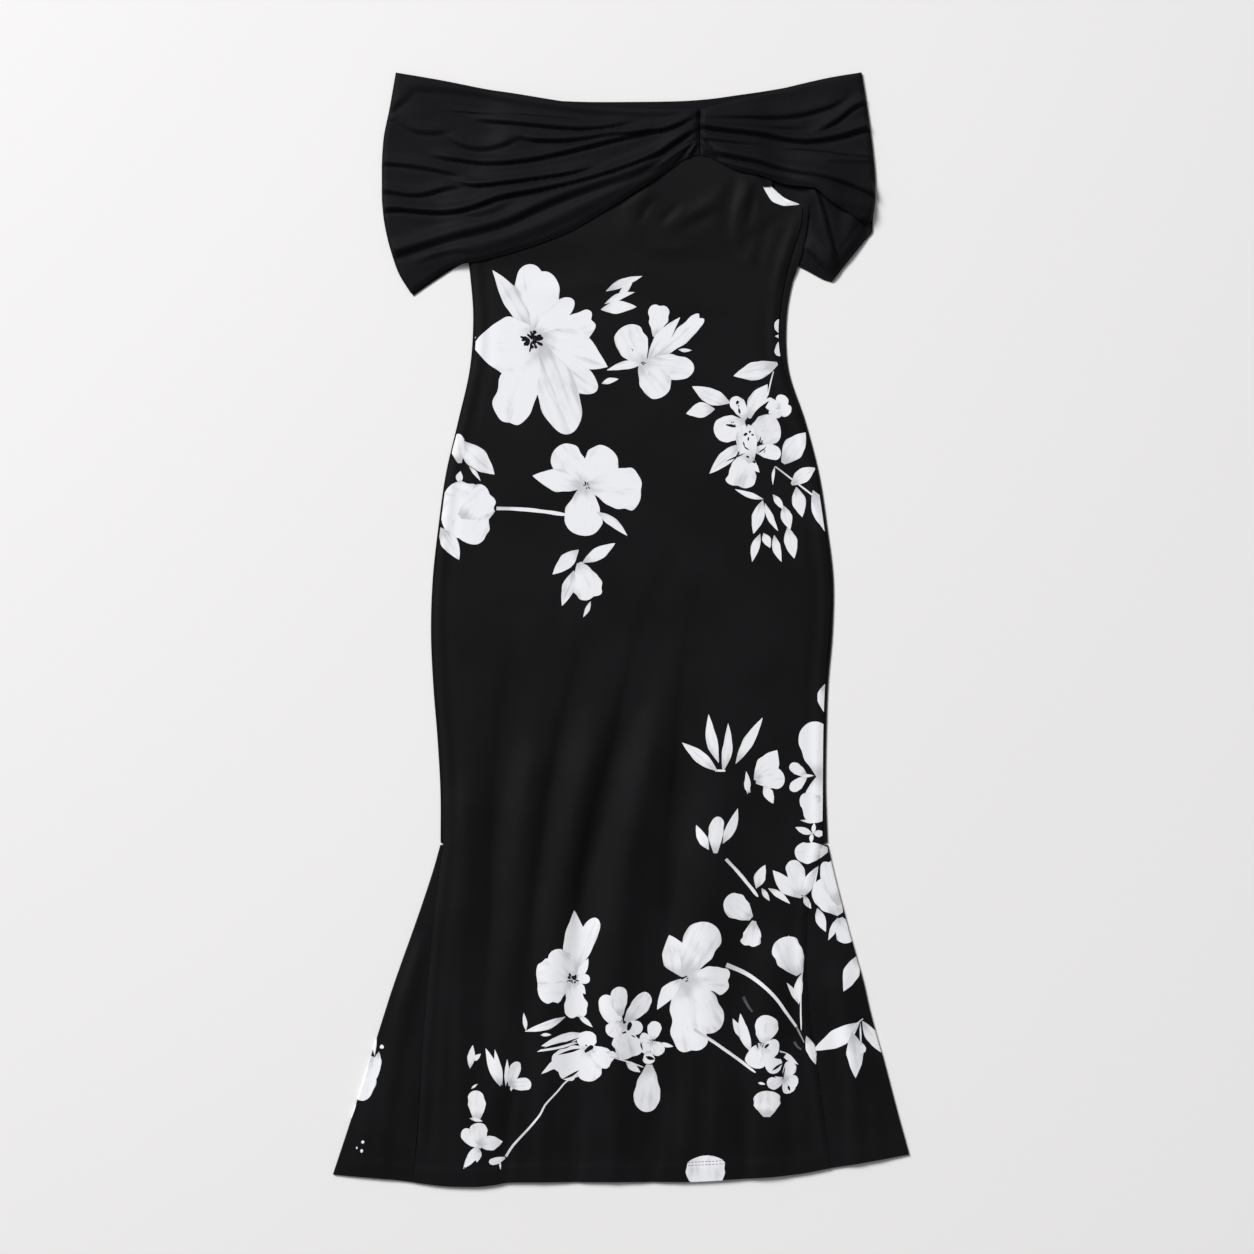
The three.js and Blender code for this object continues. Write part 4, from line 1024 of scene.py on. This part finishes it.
def hemBand(heightAt, hemPlaces):
    # the turned-up hem stands a little proud of the cloth, with a soft step along its stitches
    hemX, hemY = hemPlaces[:, 0], hemPlaces[:, 1]

    def raised(x, y):
        above = y - np.interp(x, hemX, hemY) - cloth["hemDepth"]
        step = 1 - smoothStep((above + hemForm["from"]) / hemForm["step"])
        groove = bell(above + hemForm["grooveAt"], hemForm["grooveReach"])
        return heightAt(x, y) + cloth["hemRise"] * step - hemForm["groove"] * groove

    return raised


def lowerEdge(corners, start, end):
    # the hem part of an outline, from left to right
    outline = np.array([corner[:2] for corner in corners])
    x, y = outline.T
    spots = outline[(x >= start) & (x <= end) & (y < hemZone)]
    clothAbove, clothBelow = (
        insideOf(outline, spots[:, 0], spots[:, 1] + beside)
        for beside in (hemForm["beside"], -hemForm["beside"])
    )
    spots = spots[clothAbove & ~clothBelow]
    return spots[np.argsort(spots[:, 0])]


def drawn(petals, border):
    # the petals that lie over a sheet at all
    low, high = border.min(axis=0), border.max(axis=0)

    def over(line):
        near = (line.max(axis=0) > low).all() and (line.min(axis=0) < high).all()
        return near and insideOf(border, line[:, 0], line[:, 1]).any()

    return [item for item in petals if over(item["outline"])]


def foldLines(rows, border):
    # the lines that a sheet is divided along at each leaning fold, clear of its border
    lines = []
    for _, _, lower, path in rows:
        line = clothLine(path, pathStep["cut"])
        for share in foldCuts:
            beside = line + share * lower * asideOf(line)
            aways = fromBorder * np.array([(1, 0), (-1, 0), (0, 1), (0, -1)])
            inside = [insideOf(border, *(beside + away).T) for away in aways]
            beside = beside[np.all(inside, axis=0)]
            if len(beside) > 2:
                lines.append(beside)
    return lines


def dress(piece, node, isPrinted):
    # gives a finished sheet its cloth and its solid's place
    slot, finish = ("printed_jersey", printed) if isPrinted else ("plain_jersey", jersey)
    place(piece, [node], slot, finish)
    print(f"{piece.name}: {len(piece.data.polygons)} faces")
    return piece


def laySheet(node, heightOver, lower, motifs=None, leaning=(), border=None):
    # one sheet over its solid's outline, or a border, at the heights that heightOver gives
    spacing = spacings[node]
    if border is None:
        border = softLine(planOutline(node), spacing, closed=True)
    isPrinted = motifs is not None
    chosen = drawn(motifs, border) if isPrinted else []
    plan, triangles, owners = flatSheet(border, spacing, chosen, foldLines(leaning, border))
    x, y = plan[:, 0], plan[:, 1]
    z = np.maximum(heightOver(border, x, y), cloth["wall"])
    if lower:
        z = clearOf(lower, x, y, z)
    marks = owners if isPrinted else None
    piece = makePiece(f"{node}_jersey", np.stack([x, y, z], axis=1), triangles, marks, chosen)
    return dress(giveWall(piece), node, isPrinted)


def sideRoll(border, x, y):
    # a laid tube's side: it rounds down at the edge, with a soft ridge and hollow beside it
    line = border[:: max(1, round(sideEnds["step"] / np.hypot(*(border[1] - border[0]))))]
    edge = alongPath(asRing(line), x, y)[0]
    rolled = sum(height * bell(edge - away, reach) for height, away, reach in sideForm)
    return rolled * smoothStep((y - sideEnds["at"]) / sideEnds["over"])


def onSolid(node, rows=(), leaning=()):
    # follows the solid, with its own creases and folds
    heightAt = solidHeights(node)
    return lambda border, x, y: heightAt(x, y) + creases(rows, x, y) + folds(leaning, x, y)


# Back of the dress: the back drape with the sleeve's inside, then the back panel over its edge
backDrape = laySheet("back_drape", onSolid("back_drape", backDrapeCreases, backDrapeFolds), [])


def mirrored(item):
    # the back's print is the front's, turned left to right
    mirrorAbout = (backPrint["mirrorAbout"], 0)
    turned = {key: item[key] * (-1, 1) for key in ("outline", "base", "along", "across")}
    turned["outline"] = (turned["outline"] + mirrorAbout)[::-1]
    turned["base"] = turned["base"] + mirrorAbout
    return {**item, **turned}


def showsOnBack(outline):
    # clear of the panel's sides and hem
    fromMiddle = np.abs(outline[:, 0] - backPrint["mirrorAbout"] / 2)
    return (fromMiddle < backPrint["halfWidth"]).all() and (outline[:, 1] > backPrint["above"]).all()


backPetals = [item for item in map(mirrored, petals) if showsOnBack(item["outline"])]
# two small leaves on the strip that shows beside the front, in millimetres
for root, tip, width in (
    ((-204.5, -236.0), (-201.0, -254.0), 5.0),
    ((-180.5, 231.0), (-183.0, 217.0), 3.0),
):
    backPetals.append(petal("leaf", np.array(root), np.array(tip), width))
backForm = onSolid("back_panel", backPanelCreases)
backPanel = laySheet("back_panel", backForm, [topOf(backDrape)], backPetals)
casing = laySheet("neck_casing", onSolid("neck_casing"), [topOf(backPanel)])

# Front of the dress, in one printed panel with a turned hem
frontCorners = planOutline("front_panel")
frontHem = lowerEdge(frontCorners, *hemSpans["front"])
frontHeight = hemBand(solidHeights("front_panel"), frontHem)


def frontForm(border, x, y):
    return frontHeight(x, y) + creases(frontCreases, x, y) + sideRoll(border, x, y)


frontPanel = laySheet("front_panel", frontForm, [topOf(backPanel), topOf(casing)], petals)

# Godets: the cloth lies double, folded along its outer edge
foldShape = {"radius": 1.35, "rounds": (0.12, 0.4, 0.8, 1.35), "pinned": 14, "low": 1.5, "open": 0.02}


def foldedSheet(side):
    # both halves of a godet, closed round the fold
    node, radius = f"{side}_godet", foldShape["radius"]
    corners, spacing = planOutline(node), spacings[node]
    border = softLine(corners, spacing, closed=True)
    foldLine = sorted((p for p in corners if p.z < foldShape["low"]), key=lambda p: p.y)
    foldLine = softLine(foldLine, spacing)
    inward = 1 if side == "left" else -1
    slant = math.atan2(*(foldLine[-1] - foldLine[0]))
    rounds = []
    for depth in foldShape["rounds"]:
        line = foldLine + np.array([inward * depth / math.cos(slant), 0])
        rounds.append(line[insideOf(border, line[:, 0], line[:, 1])])
    chosen = drawn(petals, border)
    plan, triangles, owners = flatSheet(border, spacing, chosen, rounds)
    x, y = plan[:, 0], plan[:, 1]
    hem = lowerEdge(corners, min(border[:, 0]), max(border[:, 0]))
    upper = hemBand(solidHeights(node), hem)(x, y) + creases(godetCreases[side], x, y)
    away = alongPath(foldLine, x, y)[0]
    turn = np.sqrt(np.clip(1 - (1 - np.clip(away / radius, 0, 1)) ** 2, 0, 1))
    pinned = smoothStep(away / foldShape["pinned"])
    upper = 2 * radius + np.maximum(upper - 2 * radius, foldShape["open"]) * pinned
    top, bottom = radius + (upper - radius) * turn, radius - radius * turn
    count = len(plan)
    places = [(*spot, z) for heights in (top, bottom) for spot, z in zip(plan, heights)]
    onFold = turn < 1e-3
    below = [i if onFold[i] else i + count for i in range(count)]
    triangles = [*triangles, *[[below[i] for i in triangle[::-1]] for triangle in triangles]]
    used = sorted({i for triangle in triangles for i in triangle})
    new = {old: i for i, old in enumerate(used)}
    triangles = [[new[i] for i in triangle] for triangle in triangles]
    places = [places[old] for old in used]
    piece = giveWall(makePiece(f"{node}_jersey", places, triangles, [*owners, *owners], chosen))
    return dress(piece, node, True)


leftGodet, rightGodet = foldedSheet("left"), foldedSheet("right")

# Front drape in two halves, gathered into the short seam
underDrapes = [topOf(piece) for piece in (backDrape, backPanel, casing, frontPanel)]
drapeShape = {
    "bridging": 14, "softness": 12, "highest": 16.6,
    "loft": 2.1,  # room under the cloth for its folds' feet
    "edgeRoll": 2.6, "sideRoll": 6, "seamRoll": 2.4, "seamDip": 1.0,
    "closedUpTo": 606,  # the sleeve's outer fold ends below the band's upper edge
}


def draped(outerFrom, leaning, rows):
    # lies over what is below it, bridging its steps, with its own folds, and closes at the sleeve
    resting = cloth["wall"] + cloth["gap"]

    def castAt(x, y):
        return resting + max(top(x, y) for top in underDrapes)

    def heightOver(border, x, y):
        low, high = border.min(axis=0), border.max(axis=0)
        base = softField(low, high, castAt, drapeShape["softness"], drapeShape["bridging"])
        z = base(x, y) + drapeShape["loft"] + folds(leaning, x, y) + creases(rows, x, y)
        edge = alongPath(asRing(border), x, y)[0]
        z -= drapeShape["loft"] * bell(edge, drapeShape["edgeRoll"])
        below = border[:, 1] < drapeShape["closedUpTo"]
        outer = border[(np.abs(border[:, 0]) > outerFrom) & below]
        outer = outer[np.argsort(outer[:, 1])]
        away = alongPath(outer, x, y)[0]
        closing = np.sqrt(1 - (1 - np.clip(away / drapeShape["sideRoll"], 0, 1)) ** 2)
        z = resting * 2 + (z - resting * 2) * closing
        atSeam = bell(np.abs(x - seamX), drapeShape["seamRoll"])
        spare = drapeShape["highest"] - z + drapeShape["seamDip"] * atSeam
        return drapeShape["highest"] - np.log1p(np.exp(np.clip(spare, -30, 30)))

    return heightOver


leftDrape, rightDrape = (
    laySheet(node, draped(outerFrom, leaning, rows), underDrapes, leaning=leaning)
    for node, outerFrom, leaning, rows in (
        ("left_drape", 231, leftDrapeFolds, leftDrapeCreases),
        ("right_drape", 265, rightDrapeFolds, rightDrapeCreases),
    )
)
tabCorners = [(764, 187.6), (769, 187.6), (772.4, 184.5), (768.6, 176.6), (761.8, 176.4)]
tabDrop = 0.7  # it sits this much lower than its solid, on the softer cloth
tabHeight = onSolid("armhole_tab")
tab = laySheet(
    "armhole_tab",
    lambda border, x, y: tabHeight(border, x, y) - tabDrop,
    [topOf(frontPanel)],
    border=clothLine(tabCorners, spacings["armhole_tab"], closed=True),
)
print("sheets laid")


# Stitches: one is modelled, then laid along its lines on the finished cloth, about half sunk
stitchShape = {
    "length": 2.6, "thick": 0.32, "sides": 6, "tip": 0.4, "tipShare": 0.5, "pitch": 3.8, "sunk": 0.1,
}
hemRises = (18.2, 21.6)


def modelStitch():
    # a short thread with drawn-in ends
    tip = stitchShape["tip"] * metre
    bpy.ops.object.select_all(action="DESELECT")
    bpy.ops.mesh.primitive_cylinder_add(
        vertices=stitchShape["sides"],
        radius=stitchShape["thick"] * metre,
        depth=stitchShape["length"] * metre - 2 * tip,
        rotation=(0, math.pi / 2, 0),
    )
    one = bpy.context.active_object
    bpy.ops.object.transform_apply(location=False, rotation=True, scale=False)
    bpy.ops.object.mode_set(mode="EDIT")
    bpy.ops.mesh.select_mode(type="FACE")
    for side in (-1, 1):
        bpy.ops.mesh.select_all(action="DESELECT")
        shape = bmesh.from_edit_mesh(one.data)
        for face in shape.faces:
            face.select_set(face.normal.x * side > 0.9)
        bmesh.update_edit_mesh(one.data)
        bpy.ops.mesh.extrude_region_move(TRANSFORM_OT_translate={"value": (side * tip, 0, 0)})
        bpy.ops.transform.resize(value=(1, stitchShape["tipShare"], stitchShape["tipShare"]))
    bpy.ops.object.mode_set(mode="OBJECT")
    return one


def stitchRows(name, lines, sheetPiece, slot):
    # every stitch lies along its line, tilted as the cloth under it
    one = modelStitch()
    top = topOf(sheetPiece)
    laid = []
    for line in lines:
        steps = np.hypot(*np.diff(line, axis=0).T)
        travelled = np.concatenate([[0], np.cumsum(steps)])
        half = stitchShape["length"] / 2

        def spotAt(distance):
            x = np.interp(distance, travelled, line[:, 0])
            y = np.interp(distance, travelled, line[:, 1])
            return Vector((x, y, top(x, y) - stitchShape["sunk"]))

        for middle in np.arange(half, travelled[-1] - half, stitchShape["pitch"]):
            start, end = spotAt(middle - half), spotAt(middle + half)
            turn = (end - start).to_track_quat("X", "Z").to_matrix().to_4x4()
            mesh = one.data.copy()
            mesh.transform(Matrix.Translation((start + end) / 2 * metre) @ turn)
            stitch = bpy.data.objects.new(name, mesh)
            bpy.context.collection.objects.link(stitch)
            laid.append(stitch)
    bpy.data.objects.remove(one)
    bpy.ops.object.select_all(action="DESELECT")
    for stitch in laid:
        stitch.select_set(True)
    bpy.context.view_layer.objects.active = laid[0]
    bpy.ops.object.join()
    row = bpy.context.active_object
    row.name = name
    place(row, [], slot, thread)
    print(f"{name}: {len(laid)} stitches")
    return row


def aboveHem(corners, start, end):
    # lines that follow a hem at their rises over it, inside the outline
    hem, outline = lowerEdge(corners, start, end), np.array([corner[:2] for corner in corners])
    xs = np.arange(hem[0, 0], hem[-1, 0], pathStep["stitch"])
    lines, fromSeam = [], 4
    for rise in hemRises:
        level = np.interp(xs, hem[:, 0], hem[:, 1]) + rise
        inside = insideOf(outline, xs - fromSeam, level) & insideOf(outline, xs + fromSeam, level)
        lines.append(np.stack([xs, level], axis=1)[inside])
    return lines


frontStitches = stitchRows(
    "front_hem_stitches", aboveHem(frontCorners, *hemSpans["front"]), frontPanel, "printed_jersey"
)
godetStitches = {
    side: stitchRows(
        f"{side}_godet_stitches",
        aboveHem(planOutline(f"{side}_godet"), *hemSpans["godet"]),
        piece,
        "printed_jersey",
    )
    for side, piece in (("left", leftGodet), ("right", rightGodet))
}
sleeveLines = [
    [(862, 225), (853, 236), (845, 247), (835, 261)],
    [(863, 222), (854, 233), (846, 244), (836, 257)],
    [(810, 236), (820, 246), (830, 256)],
]
sleeveLines = [clothLine(path, pathStep["stitch"]) for path in sleeveLines]
sleeveStitches = stitchRows("sleeve_hem_stitches", sleeveLines, backDrape, "plain_jersey")

# Camera straight above, as the dress was seen
view = {"at": (0.0066, 0.0026, 2.6), "width": 1.3794, "sensor": 36}
camera = bpy.data.cameras.new("camera")
camera.sensor_width = view["sensor"]
camera.lens = view["sensor"] * view["at"][2] / view["width"]
cameraObject = bpy.data.objects.new("camera", camera)
cameraObject.location = view["at"]
bpy.context.collection.objects.link(cameraObject)
bpy.context.scene.camera = cameraObject

# Pale floor
floorLook = {
    "size": 6, "top": -0.0003, "dark": (0.80, 0.79, 0.79), "light": (0.82, 0.81, 0.81),
    "roughness": 0.75, "gloss": 0.2,
}
bpy.ops.mesh.primitive_plane_add(size=floorLook["size"], location=(0, 0, floorLook["top"]))
floor = bpy.context.active_object
floor.name = "floor"
paper = finishRecipe("pale floor")
speck = paper.node("TexNoise", {}, {"Scale": 3, "Detail": 2})
floor.data.materials.append(
    paper.shade(
        Base_Color=paper.blend(speck, floorLook, "dark", "light"),
        Roughness=floorLook["roughness"],
        Specular_IOR_Level=floorLook["gloss"],
    )
)

# Soft daylight from the upper left over a pale room
daylight = {
    "room": 0.22, "roomColour": (1.0, 0.995, 0.995),
    "sun": 3.05, "sunFrom": (-1.0, 1.05, 1.15), "sunSpread": 22,
    "window": 45, "windowSize": 2.2, "windowAt": (-1.9, 1.7, 2.6),
}


def lamp(name, kind, power, at):
    light = bpy.data.lights.new(name, kind)
    light.energy = power
    made = bpy.data.objects.new(name, light)
    made.location = at
    made.rotation_euler = (-Vector(at)).to_track_quat("-Z", "Y").to_euler()
    bpy.context.collection.objects.link(made)
    return light


sun = lamp("sun", "SUN", daylight["sun"], daylight["sunFrom"])
sun.angle = math.radians(daylight["sunSpread"])
window = lamp("window", "AREA", daylight["window"], daylight["windowAt"])
window.size = daylight["windowSize"]
world = bpy.data.worlds.new("studio")
world.use_nodes = True
sky = next(n for n in world.node_tree.nodes if n.type == "BACKGROUND")
sky.inputs["Color"].default_value = (*daylight["roomColour"], 1)
sky.inputs["Strength"].default_value = daylight["room"]
bpy.context.scene.world = world
bpy.context.scene.view_settings.view_transform = "Standard"
print("camera, floor and lights set")
